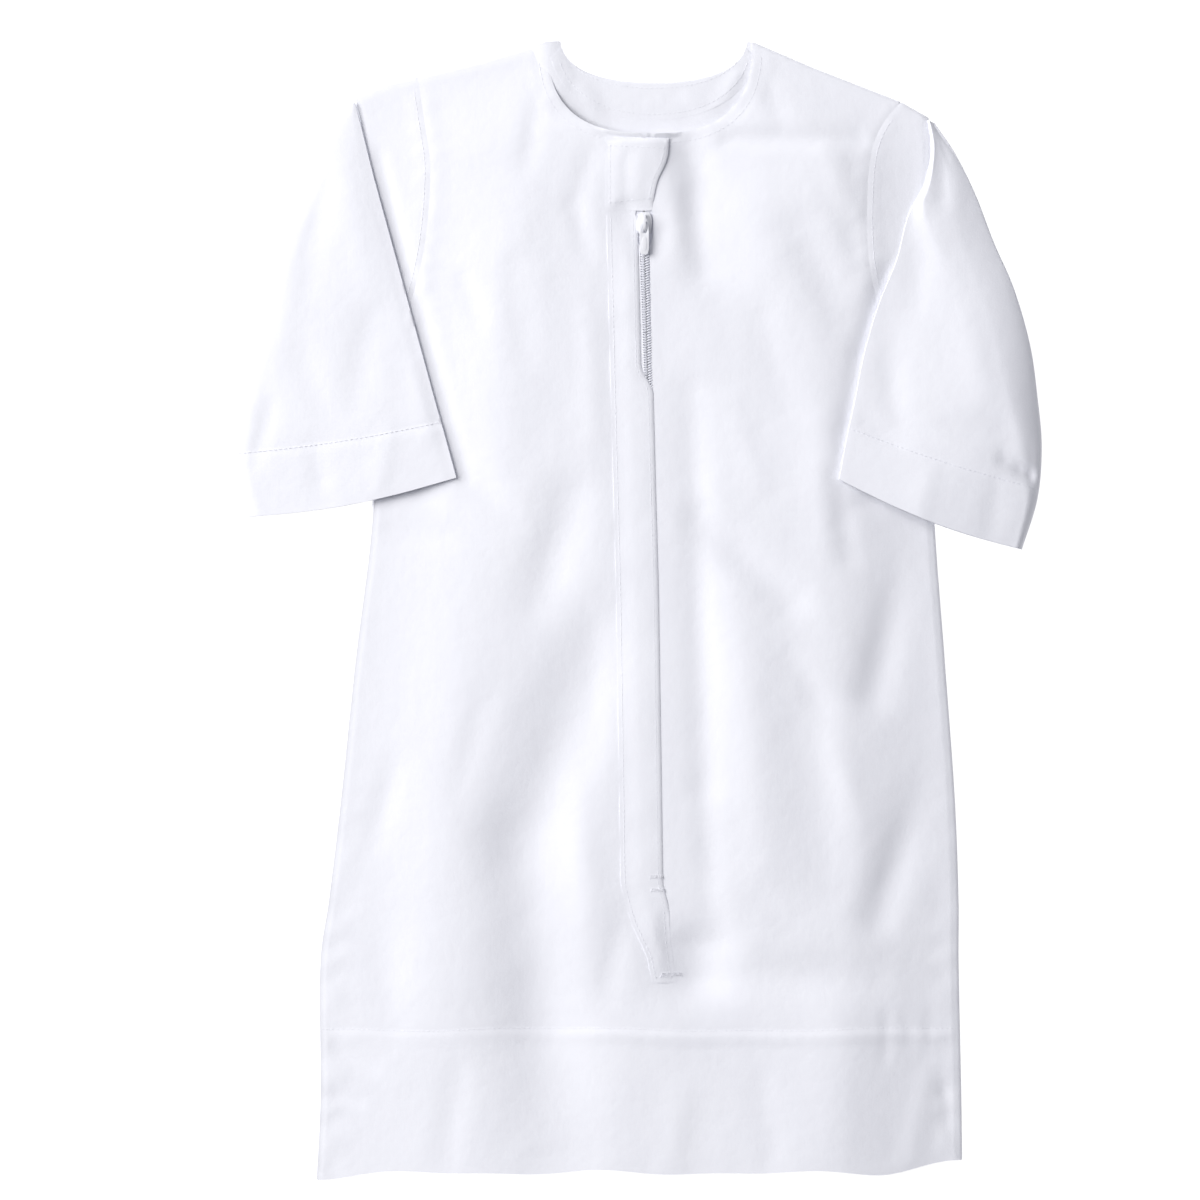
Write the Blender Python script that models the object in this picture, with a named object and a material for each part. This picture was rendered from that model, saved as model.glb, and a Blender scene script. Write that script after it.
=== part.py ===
"""A child's zip-front thobe robe in white cotton, laid flat with its sleeves turned down over the front.

Every place on the robe is given as (out, drop): millimetres sideways from the middle of the neck, towards +X,
and millimetres down from the shoulder points at the neck, towards -Y. Heights are millimetres above the surface
that the robe lies on. The origin is under the middle of the whole robe.
"""

from collections import namedtuple
from math import cos, exp, hypot, pi, sin

import bmesh
import bpy
from mathutils import Vector

MM = 0.001

# The cloth and how its layers lie
CLOTH = 1.0
HEM_CLOTH = 2 * CLOTH
GAP = 0.3
LOOSE_GAP = 0.8

# Overall places
NECK_X = 7.5
SHOULDER_Y = 305.5
NECK_HALF_WIDTH = 55.0
FRONT_NECK_DROP = 51.0
FRONT_NECK_POWER = 2.6
BACK_NECK_HALF_WIDTH = 50.0
BACK_NECK_SHIFT = 2.0
BACK_NECK_DROP = 22.0
BACK_NECK_POWER = 2.2
FACING_DEPTH = 20.0
FACING_OVERLAP = 6.0
FACING_INNER_START = 10.0
FACING_OUTER_START = 14.0
HEM_DROP = 607.5
HEM_LEFT_SAG = 3.5
HEM_RIGHT_RISE = 6.0
HEM_STITCH_DROP = 531.0
HEM_STEP = 4.0
CUFF_HEM_DEPTH = 35.0
CUFF_HEM_STEP = 6.0

# How high the front stands off the back
SEAM_LEVEL = CLOTH + GAP
AIR = 4.0
HEM_AIR = 2.8
AIR_SPREAD = 38.0
ZIP_LEVEL = 4.2
ZIP_ZONE = 20.0
ZIP_ZONE_FADE = 14.0

# The placket strip
PLACKET_TOP = 93.5
PLACKET_END = 506.0
PLACKET_REACH = 20.0
BESIDE_CHAIN = 3.4
LAP = 2.6
LAP_START = 174.0
LAP_RUN = 16.0
LAP_END = 478.0

# The zip
TAPE_REACH = 14.0
CHAIN_HALF_WIDTH = 2.0
CHAIN_BOTTOM = 2.2
CHAIN_TOP = 3.9
CHAIN_END_DROP = 456.0
TAPE_END_DROP = 464.0
SLIDER_DROP = 98.0
SLIDER_LENGTH = 12.0
SLIDER_WIDTH = 8.0
SLIDER_PLATE = 1.0
SLIDER_TOP_TAPER = 1.6
SLIDER_SHOULDER = 3.0
SLIDER_CORNER = 1.0
BRIDGE_WIDTH = 1.6
BRIDGE_LENGTH = 9.0
BRIDGE_BAR = 1.1
BRIDGE_SEAT = 0.4
PULL_WIDTH = 5.0
PULL_LENGTH = 17.0
PULL_THICKNESS = 1.0
PULL_BAR = 1.2
PULL_RAIL = 1.0
PULL_LEVEL = 7.2
PULL_EYE_LENGTH = 5.5
PULL_TIP = 1.2

Place = namedtuple("Place", "out drop")
Opening = namedtuple("Opening", "drop middle half_width")
Fold = namedtuple("Fold", "out drop to_out to_drop width rise")
Station = namedtuple("Station", "inner_out inner_drop outer_out outer_drop fullness")

# The shoulder line, from the left sleeve's fold over the neck points to the right sleeve's fold
SHOULDER = (
    Place(-160.0, 30.0),
    Place(-140.0, 22.0),
    Place(-125.0, 19.0),
    Place(-NECK_HALF_WIDTH, 0.0),
    Place(NECK_HALF_WIDTH, 0.0),
    Place(135.0, 32.5),
    Place(150.0, 41.0),
)

# Armhole seams from the shoulder to the underarm
ARMHOLES = {
    "left": (
        Place(-125.0, 19.0),
        Place(-121.0, 45.0),
        Place(-118.0, 68.0),
        Place(-121.0, 108.0),
        Place(-128.0, 138.0),
        Place(-137.0, 156.0),
        Place(-146.0, 166.0),
    ),
    "right": (
        Place(135.0, 32.5),
        Place(126.0, 43.0),
        Place(120.0, 56.0),
        Place(117.0, 75.0),
        Place(117.0, 112.0),
        Place(122.0, 138.0),
        Place(134.0, 157.0),
        Place(150.0, 166.0),
    ),
}

# Side seams from the underarm to the hem
SIDES = {
    "left": (
        Place(-146.0, 166.0),
        Place(-150.0, 257.0),
        Place(-159.0, 332.0),
        Place(-167.0, 408.0),
        Place(-173.5, 462.0),
        Place(-178.0, 494.0),
        Place(-178.0, 569.0),
        Place(-180.0, 611.0),
    ),
    "right": (
        Place(150.0, 166.0),
        Place(153.0, 257.0),
        Place(158.5, 332.0),
        Place(164.0, 408.0),
        Place(166.0, 462.0),
        Place(166.0, 494.0),
        Place(167.5, 569.0),
        Place(168.0, 602.0),
    ),
}

# Where the sleeve heads end, hidden under the sleeves
HEAD_LIMITS = {
    "left": (
        Place(-159.0, 29.6),
        Place(-156.0, 45.0),
        Place(-150.0, 90.0),
        Place(-146.0, 165.0),
    ),
    "right": (
        Place(149.5, 40.7),
        Place(151.0, 58.0),
        Place(150.0, 90.0),
        Place(150.0, 165.0),
    ),
}

# The slit in the front that holds the zip
SLIT = (
    Opening(FRONT_NECK_DROP, -3.5, 1.2),
    Opening(89.0, -3.2, 1.2),
    Opening(91.0, -3.2, 4.8),
    Opening(105.5, -3.0, 4.8),
    Opening(110.0, -2.9, 2.6),
    Opening(180.0, -1.2, 1.9),
    Opening(300.0, 2.0, 1.4),
    Opening(453.0, 4.3, 1.4),
    Opening(475.0, 10.5, 1.0),
    Opening(492.0, 18.5, 1.4),
    Opening(506.0, 21.5, 1.0),
)

# The tab over the top of the slit, down its right edge and back up its left one
TAB = (
    Place(10.0, 51.2),
    Place(9.6, 61.0),
    Place(7.4, 68.0),
    Place(4.4, 74.0),
    Place(2.4, 82.0),
    Place(1.0, 91.3),
    Place(-24.0, 91.3),
    Place(-24.0, 51.2),
)
TAB_LIFT = 2.6

# The largest folds of the front: ridges have a positive rise and troughs a negative one
FOLDS = (
    Fold(-27.0, 322.0, -70.0, 462.0, 20.0, -2.6),
    Fold(-70.0, 462.0, -54.0, 592.0, 20.0, -2.4),
    Fold(-43.0, 246.0, -59.0, 300.0, 13.0, -1.4),
    Fold(18.0, 110.0, 24.0, 440.0, 10.0, -1.6),
    Fold(27.0, 257.0, 75.0, 300.0, 12.0, -1.7),
    Fold(137.0, 289.0, 122.0, 360.0, 13.0, -2.6),
    Fold(145.0, 418.0, 120.0, 480.0, 14.0, -2.4),
    Fold(48.0, 279.0, 68.0, 420.0, 16.0, 1.8),
    Fold(46.0, 50.0, 108.0, 50.0, 6.0, -1.4),
    Fold(81.0, 112.0, 108.0, 155.0, 15.0, -2.0),
    Fold(-110.0, 330.0, -120.0, 560.0, 30.0, 1.6),
    Fold(-70.0, 110.0, -80.0, 220.0, 24.0, 1.0),
    Fold(100.0, 500.0, 90.0, 600.0, 24.0, 1.4),
)

# The sleeves, as the ends of each section across the tube, and how much each section stands open
LEFT_SLEEVE = (
    Station(-158.5, 33.0, -163.0, 35.0, 0.2),
    Station(-154.5, 48.0, -174.0, 51.0, 0.6),
    Station(-148.0, 74.0, -188.8, 85.0, 1.0),
    Station(-139.5, 105.0, -203.0, 116.0, 1.4),
    Station(-131.0, 136.0, -212.0, 149.0, 1.8),
    Station(-122.5, 167.0, -220.0, 181.0, 2.0),
    Station(-116.5, 189.0, -225.5, 205.0, 2.2),
    Station(-110.0, 212.0, -225.5, 231.0, 2.2),
    Station(-103.8, 234.6, -219.5, 256.0, 2.2),
)
RIGHT_SLEEVE = (
    Station(150.0, 45.5, 155.0, 46.5, 0.2),
    Station(151.5, 58.0, 165.0, 62.0, 1.0),
    Station(147.5, 76.0, 175.0, 82.0, 1.8),
    Station(138.5, 94.0, 185.0, 108.0, 2.4),
    Station(132.5, 117.0, 195.5, 132.0, 2.8),
    Station(122.5, 142.0, 204.5, 163.0, 2.8),
    Station(115.0, 167.0, 208.5, 191.0, 2.8),
    Station(109.5, 194.0, 210.8, 218.0, 2.8),
    Station(104.5, 217.0, 208.5, 246.0, 2.8),
    Station(101.1, 235.6, 200.1, 273.3, 2.8),
)
CUFF_BOW = 4.0
SLEEVE_COLUMNS = 8
SLEEVE_ROWS = 13
SLEEVE_TOP_WALL = 0.06
SLEEVE_OVERHANG = 5.0
SLEEVE_FALL = 18.0
SLEEVE_EDGE_HEIGHT = 3.0
SLEEVE_HEM_HEIGHT = 4.8

COTTON = (0.86, 0.87, 0.93, 1.0)
TAPE_WHITE = (0.80, 0.81, 0.86, 1.0)
CHAIN_GREY = (0.52, 0.53, 0.58, 1.0)
SLIDER_WHITE = (0.78, 0.79, 0.83, 1.0)


def smooth(amount):
    """A soft step from 0 to 1."""
    amount = min(1.0, max(0.0, amount))
    return amount * amount * (3 - 2 * amount)


def mix(a, b, share):
    return a + (b - a) * share


def along(rows, where, by, field):
    """Reads a table's named column where another of its columns has a value, straight between its rows."""
    if where <= getattr(rows[0], by):
        return getattr(rows[0], field)
    for before, after in zip(rows, rows[1:]):
        if where <= getattr(after, by):
            share = (where - getattr(before, by)) / (getattr(after, by) - getattr(before, by))
            return mix(getattr(before, field), getattr(after, field), share)
    return getattr(rows[-1], field)


def slit_middle(drop):
    return along(SLIT, drop, "drop", "middle")


def hem_drop(out):
    """The hem hangs a little lower at the left and lifts at its right corner."""
    return HEM_DROP + HEM_LEFT_SAG * smooth((-120 - out) / 60) - HEM_RIGHT_RISE * smooth((out - 120) / 48)


def shoulder_drop(out):
    """How far the shoulder line has fallen below the neck points."""
    return along(SHOULDER, out, "out", "drop")


def neckline(half_width, depth, power, count=13):
    """A round neckline from the left shoulder point to the right one."""
    points = []
    for step in range(count):
        angle = pi * step / (count - 1)
        side = -1 if cos(angle) > 0 else 1
        out = side * half_width * abs(cos(angle)) ** (2 / power)
        points.append((out, depth * sin(angle) ** (2 / power)))
    return points


def back_neckline(inset=0.0, lower=0.0):
    """The back neck, or a line round it that is so much narrower and lower."""
    line = neckline(BACK_NECK_HALF_WIDTH - inset, BACK_NECK_DROP + lower, BACK_NECK_POWER)
    return [(out + BACK_NECK_SHIFT, drop) for out, drop in line]


def fold_height(out, drop, fold):
    """How much one soft fold lifts or sinks the cloth at a place."""
    run = fold.to_out - fold.out
    fall = fold.to_drop - fold.drop
    length_squared = run * run + fall * fall
    share = ((out - fold.out) * run + (drop - fold.drop) * fall) / length_squared
    nearest = min(1.0, max(0.0, share))
    away_out = out - mix(fold.out, fold.to_out, nearest)
    away_drop = drop - mix(fold.drop, fold.to_drop, nearest)
    away_squared = away_out * away_out + away_drop * away_drop
    return fold.rise * exp(-away_squared / fold.width ** 2)


def body_limit(drop, side):
    """The edge of the body panels: the armhole above the underarm and the side seam below it."""
    rows = ARMHOLES[side] if drop < SIDES[side][0].drop else SIDES[side]
    return along(rows, drop, "drop", "out")


def hem_share(drop):
    """0 above the hem's stitch line and 1 below it."""
    return smooth((drop - HEM_STITCH_DROP) / HEM_STEP)


def front_level(out, drop):
    """The height of the front's upper face, which stands off the back between its seams."""
    sideways = min(out - body_limit(drop, "left"), body_limit(drop, "right") - out)
    inside = min(sideways, drop - shoulder_drop(out))
    spread = smooth(inside / AIR_SPREAD)
    hem = hem_share(drop)
    rise = mix(AIR, HEM_AIR, hem) + sum(fold_height(out, drop, fold) for fold in FOLDS)
    level = SEAM_LEVEL + CLOTH + spread * rise + 2 * CLOTH * hem
    from_slit = abs(out - slit_middle(drop))
    zip_share = smooth((ZIP_ZONE + ZIP_ZONE_FADE - from_slit) / ZIP_ZONE_FADE)
    zip_share *= smooth(drop / 30.0)
    return mix(level, max(level, ZIP_LEVEL + CLOTH), zip_share)


def cloth_wall(drop):
    """One layer of cloth above the hem's stitch line, and two below it."""
    return mix(CLOTH, HEM_CLOTH, hem_share(drop))


def under_sleeve(out, drop):
    """The height that a sleeve rests at: over the body and sleeve head, or on the surface outside them."""
    side = "left" if out < 0 else "right"
    rows = HEAD_LIMITS[side] if drop < SIDES[side][0].drop else SIDES[side]
    beyond = abs(out) - abs(along(rows, drop, "drop", "out"))
    body = body_limit(drop, side)
    inside = min(abs(out), abs(body)) * (1 if out > 0 else -1)
    level = max(front_level(inside, drop), SEAM_LEVEL + CLOTH) + LOOSE_GAP
    return level * (1 - smooth((beyond - SLEEVE_OVERHANG) / SLEEVE_FALL))


def to_scene(out, drop, height):
    return ((NECK_X + out) * MM, (SHOULDER_Y - drop) * MM, height * MM)


def material(name, colour, roughness, metallic=0.0):
    made = bpy.data.materials.new(name)
    made.use_nodes = True
    shader = made.node_tree.nodes["Principled BSDF"]
    shader.inputs["Base Color"].default_value = colour
    shader.inputs["Roughness"].default_value = roughness
    shader.inputs["Metallic"].default_value = metallic
    return made


def add_object(name, mesh, colour, roughness, metallic=0.0):
    made = bpy.data.objects.new(name, mesh)
    bpy.context.collection.objects.link(made)
    mesh.materials.append(material(name, colour, roughness, metallic))
    return made


def finish_mesh(bm, name, colour, roughness, metallic=0.0):
    bmesh.ops.recalc_face_normals(bm, faces=bm.faces[:])
    mesh = bpy.data.meshes.new(name)
    bm.to_mesh(mesh)
    bm.free()
    return add_object(name, mesh, colour, roughness, metallic)


def panel(name, outline, level, wall, across=(), down=(), colour=COTTON, roughness=0.85):
    """A wall of cloth over an outline of (out, drop) points, cut on lines across and down so that it can bend.

    level(out, drop) is the height of its upper face, and wall(out, drop) its thickness.
    """
    flat = bmesh.new()
    flat.faces.new([flat.verts.new((out, drop, 0)) for out, drop in outline])
    for normal, places in (((1, 0, 0), across), ((0, 1, 0), down)):
        for place in places:
            bmesh.ops.bisect_plane(
                flat,
                geom=flat.verts[:] + flat.edges[:] + flat.faces[:],
                dist=0.01,
                plane_co=[place * part for part in normal],
                plane_no=normal,
            )
    bmesh.ops.triangulate(flat, faces=flat.faces[:], quad_method="FIXED")
    flat.verts.index_update()
    solid = bmesh.new()
    upper = []
    lower = []
    for vert in flat.verts:
        out, drop, _ = vert.co
        height = level(out, drop)
        upper.append(solid.verts.new(to_scene(out, drop, height)))
        lower.append(solid.verts.new(to_scene(out, drop, height - wall(out, drop))))
    for face in flat.faces:
        corners = [vert.index for vert in face.verts]
        solid.faces.new([upper[corner] for corner in corners])
        solid.faces.new([lower[corner] for corner in reversed(corners)])
    for edge in flat.edges:
        if edge.is_boundary:
            start, end = (vert.index for vert in edge.verts)
            solid.faces.new([upper[start], upper[end], lower[end], lower[start]])
    flat.free()
    bmesh.ops.triangulate(solid, faces=solid.faces[:])
    return finish_mesh(solid, name, colour, roughness)


def steps(start, end, spacing):
    """Evenly spaced places strictly between two ends."""
    count = max(1, round((end - start) / spacing))
    return [mix(start, end, step / count) for step in range(1, count)]


def body_edge(side):
    """One side of the body from the shoulder to the hem, along the armhole and side seam."""
    corner = SIDES[side][-1].out
    return [tuple(place) for place in ARMHOLES[side] + SIDES[side][1:-1]] + [(corner, hem_drop(corner))]


def hem_edge():
    """The bottom edge from its left corner to its right one, without the corners."""
    return [(out, hem_drop(out)) for out in steps(SIDES["left"][-1].out, SIDES["right"][-1].out, 30.0)]


def body_outline(neck):
    left = body_edge("left")
    right = body_edge("right")
    return neck + right + hem_edge()[::-1] + left[::-1]


def make_back():
    panel(
        "back",
        body_outline(back_neckline()),
        level=lambda out, drop: cloth_wall(drop),
        wall=lambda out, drop: cloth_wall(drop),
        across=(-90.0, 0.0, 90.0),
        down=(HEM_STITCH_DROP, HEM_STITCH_DROP + HEM_STEP),
    )


def make_front():
    neck = neckline(NECK_HALF_WIDTH, FRONT_NECK_DROP, FRONT_NECK_POWER)
    slit_left = [(row.middle - row.half_width, row.drop) for row in SLIT]
    slit_right = [(row.middle + row.half_width, row.drop) for row in SLIT]
    left_neck = [point for point in neck if point[0] < slit_left[0][0] - 2]
    right_neck = [point for point in neck if point[0] > slit_right[0][0] + 2]
    hem_start = HEM_STITCH_DROP
    hem_level = hem_start + HEM_STEP
    panel(
        "front",
        body_outline(left_neck + slit_left + slit_right[::-1] + right_neck),
        level=front_level,
        wall=lambda out, drop: cloth_wall(drop),
        across=[out for out in steps(-165.0, 165.0, 15.0) if abs(out) > 6],
        down=steps(20.0, hem_start, 25.0) + [hem_start, hem_level] + steps(hem_level, 600.0, 25.0),
    )


def placket_right(drop):
    """The strip's right edge: beside the chain at first, then lapped over it, and clear of it at the end."""
    lap = smooth((drop - LAP_START) / LAP_RUN) * smooth((LAP_END - drop) / LAP_RUN)
    return slit_middle(drop) + mix(-BESIDE_CHAIN, LAP, lap)


def make_placket():
    drops = [PLACKET_TOP, 110.0, 140.0, LAP_START, LAP_START + LAP_RUN / 2, LAP_START + LAP_RUN]
    drops += steps(LAP_START + LAP_RUN, LAP_END - LAP_RUN, 25.0)
    drops += [LAP_END - LAP_RUN, LAP_END - LAP_RUN / 2, LAP_END, PLACKET_END]
    right = [(placket_right(drop), drop) for drop in drops]
    left = [(slit_middle(drop) - PLACKET_REACH, drop) for drop in drops]
    panel(
        "placket",
        left[::-1] + right,
        level=lambda out, drop: front_level(out, drop) + LOOSE_GAP + CLOTH,
        wall=lambda out, drop: CLOTH,
        across=steps(-30.0, 30.0, 7.5),
        down=drops[1:-1],
    )


def tab_level(out, drop):
    """The tab lies on the front at its left and foot, and stands off it along its right edge."""
    lift = TAB_LIFT * smooth((out + 16.0) / 24.0) * smooth((94.0 - drop) / 26.0)
    return front_level(out, drop) + LOOSE_GAP + CLOTH + lift


def make_neck_tab():
    panel(
        "neck_tab",
        [tuple(place) for place in TAB],
        level=tab_level,
        wall=lambda out, drop: CLOTH,
        across=steps(-24.0, 10.0, 5.0),
        down=steps(51.0, 91.0, 8.0),
    )


def make_neck_facing():
    inner = [place for place in back_neckline(1.0, 1.0) if place[1] > FACING_INNER_START]
    outer = [place for place in back_neckline(-FACING_OVERLAP, FACING_DEPTH) if place[1] > FACING_OUTER_START]
    panel(
        "neck_facing",
        inner + outer[::-1],
        level=lambda out, drop: SEAM_LEVEL + CLOTH,
        wall=lambda out, drop: CLOTH,
    )


def moved_out(places, away, towards):
    """An open edge of (out, drop) places moved sideways off itself, towards +out or -out."""
    moved = []
    for index, (out, drop) in enumerate(places):
        before = places[max(index - 1, 0)]
        after = places[min(index + 1, len(places) - 1)]
        run = after[0] - before[0]
        fall = after[1] - before[1]
        length = hypot(run, fall)
        moved.append((out + towards * away * fall / length, drop - towards * away * run / length))
    return moved


def make_sleeve_head(side):
    """The stretch of sleeve from the armhole seam out to the fold, level with the front's edge."""
    towards = -1 if side == "left" else 1
    seam = moved_out([tuple(place) for place in ARMHOLES[side][:-1]], GAP, towards)
    limit = [tuple(place) for place in HEAD_LIMITS[side]]
    panel(
        f"sleeve_head_{side}",
        seam + limit[::-1],
        level=lambda out, drop: SEAM_LEVEL + CLOTH,
        wall=lambda out, drop: CLOTH,
    )


def station_at(rows, share):
    """A sleeve's section at a share of the way from its top to its cuff."""
    place = share * (len(rows) - 1)
    index = min(int(place), len(rows) - 2)
    part = place - index
    return Station(*(mix(a, b, part) for a, b in zip(rows[index], rows[index + 1])))


def sleeve_section(rows, share, inset):
    """One closed ring of a flattened tube; inset 0 is its outside and 1 its inside."""
    station = station_at(rows, share)
    length = abs(rows[-1].inner_drop - rows[0].inner_drop)
    hem = smooth((CUFF_HEM_DEPTH - (1 - share) * length) / CUFF_HEM_STEP)
    thickness = inset * mix(CLOTH, HEM_CLOTH, hem)
    edge_height = mix(SLEEVE_EDGE_HEIGHT, SLEEVE_HEM_HEIGHT, hem)
    bow = CUFF_BOW * share ** 4
    width = abs(station.outer_out - station.inner_out)
    rim = thickness / width
    lower = []
    upper = []
    for column in range(SLEEVE_COLUMNS + 1):
        across = mix(rim, 1 - rim, column / SLEEVE_COLUMNS)
        out = mix(station.inner_out, station.outer_out, across)
        drop = mix(station.inner_drop, station.outer_drop, across) + bow * sin(pi * across)
        rest = under_sleeve(out, drop)
        height = edge_height + station.fullness * sin(pi * across) ** 0.6
        lower.append((out, drop, rest + thickness))
        upper.append((out, drop, rest + height - thickness))
    return [to_scene(*point) for point in lower + upper[::-1]]


def make_sleeve(side, rows):
    """A flattened tube, closed where it folds at the shoulder and open at the cuff."""
    bm = bmesh.new()
    skins = []
    for inset, first in ((0, 0.0), (1, SLEEVE_TOP_WALL)):
        shares = [mix(first, 1.0, row / (SLEEVE_ROWS - 1)) for row in range(SLEEVE_ROWS)]
        rings = [[bm.verts.new(point) for point in sleeve_section(rows, share, inset)] for share in shares]
        for upper, lower in zip(rings, rings[1:]):
            bridge(bm, upper, lower)
        bm.faces.new(rings[0])
        skins.append(rings)
    bridge(bm, skins[0][-1], skins[1][-1])
    bmesh.ops.triangulate(bm, faces=bm.faces[:])
    finish_mesh(bm, f"sleeve_{side}", COTTON, 0.85)


def bridge(bm, ring, other):
    """Joins two rings of equal count with a band of faces."""
    for index in range(len(ring)):
        after = (index + 1) % len(ring)
        bm.faces.new([ring[index], ring[after], other[after], other[index]])


def make_zip_tape(side):
    """A tape under one edge of the slit, set back where the slider stands."""
    sign = -1 if side == "left" else 1
    top = SLIDER_DROP - SLIDER_LENGTH / 2
    bottom = SLIDER_DROP + SLIDER_LENGTH / 2
    reach = CHAIN_HALF_WIDTH + GAP
    set_back = SLIDER_WIDTH / 2 + GAP
    inner = [(set_back, top - 1), (set_back, bottom + 1), (reach, bottom + 1.5)]
    inner += [(reach, drop) for drop in (150.0, 180.0, 300.0, 453.0, TAPE_END_DROP)]
    outer = [(TAPE_REACH, drop) for _, drop in inner]
    outline = [(slit_middle(drop) + sign * away, drop) for away, drop in inner + outer[::-1]]
    panel(
        f"zip_tape_{side}",
        outline,
        level=lambda out, drop: CHAIN_BOTTOM + CLOTH,
        wall=lambda out, drop: CLOTH,
        colour=TAPE_WHITE,
        roughness=0.8,
    )


def make_zip_chain():
    """The closed chain, a rounded strip between the tapes that starts inside the slider."""
    drops = [SLIDER_DROP, 110.0, 150.0, 180.0, 300.0, 453.0, CHAIN_END_DROP]
    shoulder = 0.5
    height = CHAIN_TOP - CHAIN_BOTTOM
    profile = [
        (-CHAIN_HALF_WIDTH, 0.0), (CHAIN_HALF_WIDTH, 0.0), (CHAIN_HALF_WIDTH, height - shoulder),
        (CHAIN_HALF_WIDTH - shoulder, height), (-CHAIN_HALF_WIDTH + shoulder, height),
        (-CHAIN_HALF_WIDTH, height - shoulder),
    ]
    bm = bmesh.new()
    rings = []
    for drop in drops:
        middle = slit_middle(drop)
        ring = [bm.verts.new(to_scene(middle + away, drop, CHAIN_BOTTOM + up)) for away, up in profile]
        rings.append(ring)
    for upper, lower in zip(rings, rings[1:]):
        bridge(bm, upper, lower)
    bm.faces.new(rings[0])
    bm.faces.new(rings[-1])
    bmesh.ops.triangulate(bm, faces=bm.faces[:])
    finish_mesh(bm, "zip_chain", CHAIN_GREY, 0.5)


def add_box(bm, low, high):
    """A box between two corners, each (out, drop, height)."""
    corners = []
    for height in (low[2], high[2]):
        for out, drop in ((low[0], low[1]), (high[0], low[1]), (high[0], high[1]), (low[0], high[1])):
            corners.append(bm.verts.new(to_scene(out, drop, height)))
    bm.faces.new(corners[:4])
    bm.faces.new(corners[4:])
    bridge(bm, corners[:4], corners[4:])


def cutter(name, low, high):
    bm = bmesh.new()
    add_box(bm, low, high)
    made = finish_mesh(bm, name, SLIDER_WHITE, 0.5)
    made.hide_render = True
    made.display_type = "WIRE"
    return made


def cut(target, tool, operation="DIFFERENCE"):
    modifier = target.modifiers.new(tool.name, "BOOLEAN")
    modifier.operation = operation
    modifier.object = tool
    modifier.solver = "EXACT"


def prism(name, outline, low, high, origin=(0.0, 0.0, 0.0)):
    """A straight solid over an outline of (out, drop) points between two heights, built about an origin."""
    bm = bmesh.new()
    rings = []
    for height in (low, high):
        places = [Vector(to_scene(out, drop, height)) - Vector(origin) for out, drop in outline]
        rings.append([bm.verts.new(place) for place in places])
    bridge(bm, *rings)
    bm.faces.new(rings[0])
    bm.faces.new(rings[1])
    made = finish_mesh(bm, name, SLIDER_WHITE, 0.4)
    made.location = origin
    return made


def slider_outline(middle):
    """The slider seen from above: an oblong that narrows at its top, with cut corners."""
    half = SLIDER_WIDTH / 2
    top = SLIDER_DROP - SLIDER_LENGTH / 2
    bottom = SLIDER_DROP + SLIDER_LENGTH / 2
    right = [
        (half - SLIDER_TOP_TAPER, top),
        (half, top + SLIDER_SHOULDER),
        (half, bottom - 2 * SLIDER_CORNER),
        (half - SLIDER_CORNER, bottom),
    ]
    left = [(-out, drop) for out, drop in reversed(right)]
    return [(middle + out, drop) for out, drop in right + left]


def make_slider():
    """A moulded slider around the chain, with a bridge along its top for the pull."""
    middle = slit_middle(SLIDER_DROP)
    bottom = SLIDER_DROP + SLIDER_LENGTH / 2
    roof = CHAIN_TOP + GAP + SLIDER_PLATE
    slider = prism("zip_slider", slider_outline(middle), SEAM_LEVEL, roof)
    inner = CHAIN_HALF_WIDTH + GAP
    channel = cutter(
        "slider_channel",
        (middle - inner, SLIDER_DROP - GAP, CHAIN_BOTTOM - GAP),
        (middle + inner, bottom + 1, CHAIN_TOP + GAP),
    )
    cut(slider, channel)
    start = SLIDER_DROP - BRIDGE_LENGTH / 2
    end = SLIDER_DROP + BRIDGE_LENGTH / 2
    crown = PULL_LEVEL + PULL_BAR / 2 + BRIDGE_SEAT
    reach = BRIDGE_WIDTH / 2
    arch = cutter(
        "slider_bridge",
        (middle - reach, start, roof - BRIDGE_SEAT),
        (middle + reach, end, crown + BRIDGE_BAR),
    )
    eye = cutter(
        "slider_eye",
        (middle - reach - 1, start + BRIDGE_BAR, roof),
        (middle + reach + 1, end - BRIDGE_BAR, crown),
    )
    cut(arch, eye)
    cut(slider, arch, "UNION")


def make_pull():
    """A flat pull with an eye at its top; the bar across the eye turns under the slider's bridge."""
    middle = slit_middle(SLIDER_DROP)
    axis = to_scene(middle, SLIDER_DROP, PULL_LEVEL)
    half = PULL_WIDTH / 2
    bar = PULL_BAR / 2
    outside = [
        (-half, -bar), (half, -bar), (half, PULL_LENGTH - PULL_TIP), (half - PULL_TIP, PULL_LENGTH),
        (-half + PULL_TIP, PULL_LENGTH), (-half, PULL_LENGTH - PULL_TIP),
    ]
    inside = [
        (-half + PULL_RAIL, bar), (half - PULL_RAIL, bar),
        (half - PULL_RAIL, PULL_EYE_LENGTH), (-half + PULL_RAIL, PULL_EYE_LENGTH),
    ]
    made = []
    for name, outline, reach in (
        ("zip_pull", outside, PULL_THICKNESS / 2),
        ("pull_eye", inside, PULL_THICKNESS / 2 + 1),
    ):
        placed = [(middle + out, SLIDER_DROP + drop) for out, drop in outline]
        made.append(prism(name, placed, PULL_LEVEL - reach, PULL_LEVEL + reach, axis))
    pull, eye = made
    eye.hide_render = True
    eye.display_type = "WIRE"
    cut(pull, eye)


def main():
    for old in list(bpy.data.objects):
        bpy.data.objects.remove(old, do_unlink=True)
    make_back()
    make_front()
    make_placket()
    make_neck_tab()
    make_neck_facing()
    for side, rows in (("left", LEFT_SLEEVE), ("right", RIGHT_SLEEVE)):
        make_sleeve_head(side)
        make_sleeve(side, rows)
        make_zip_tape(side)
    make_zip_chain()
    make_slider()
    make_pull()


main()
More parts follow.
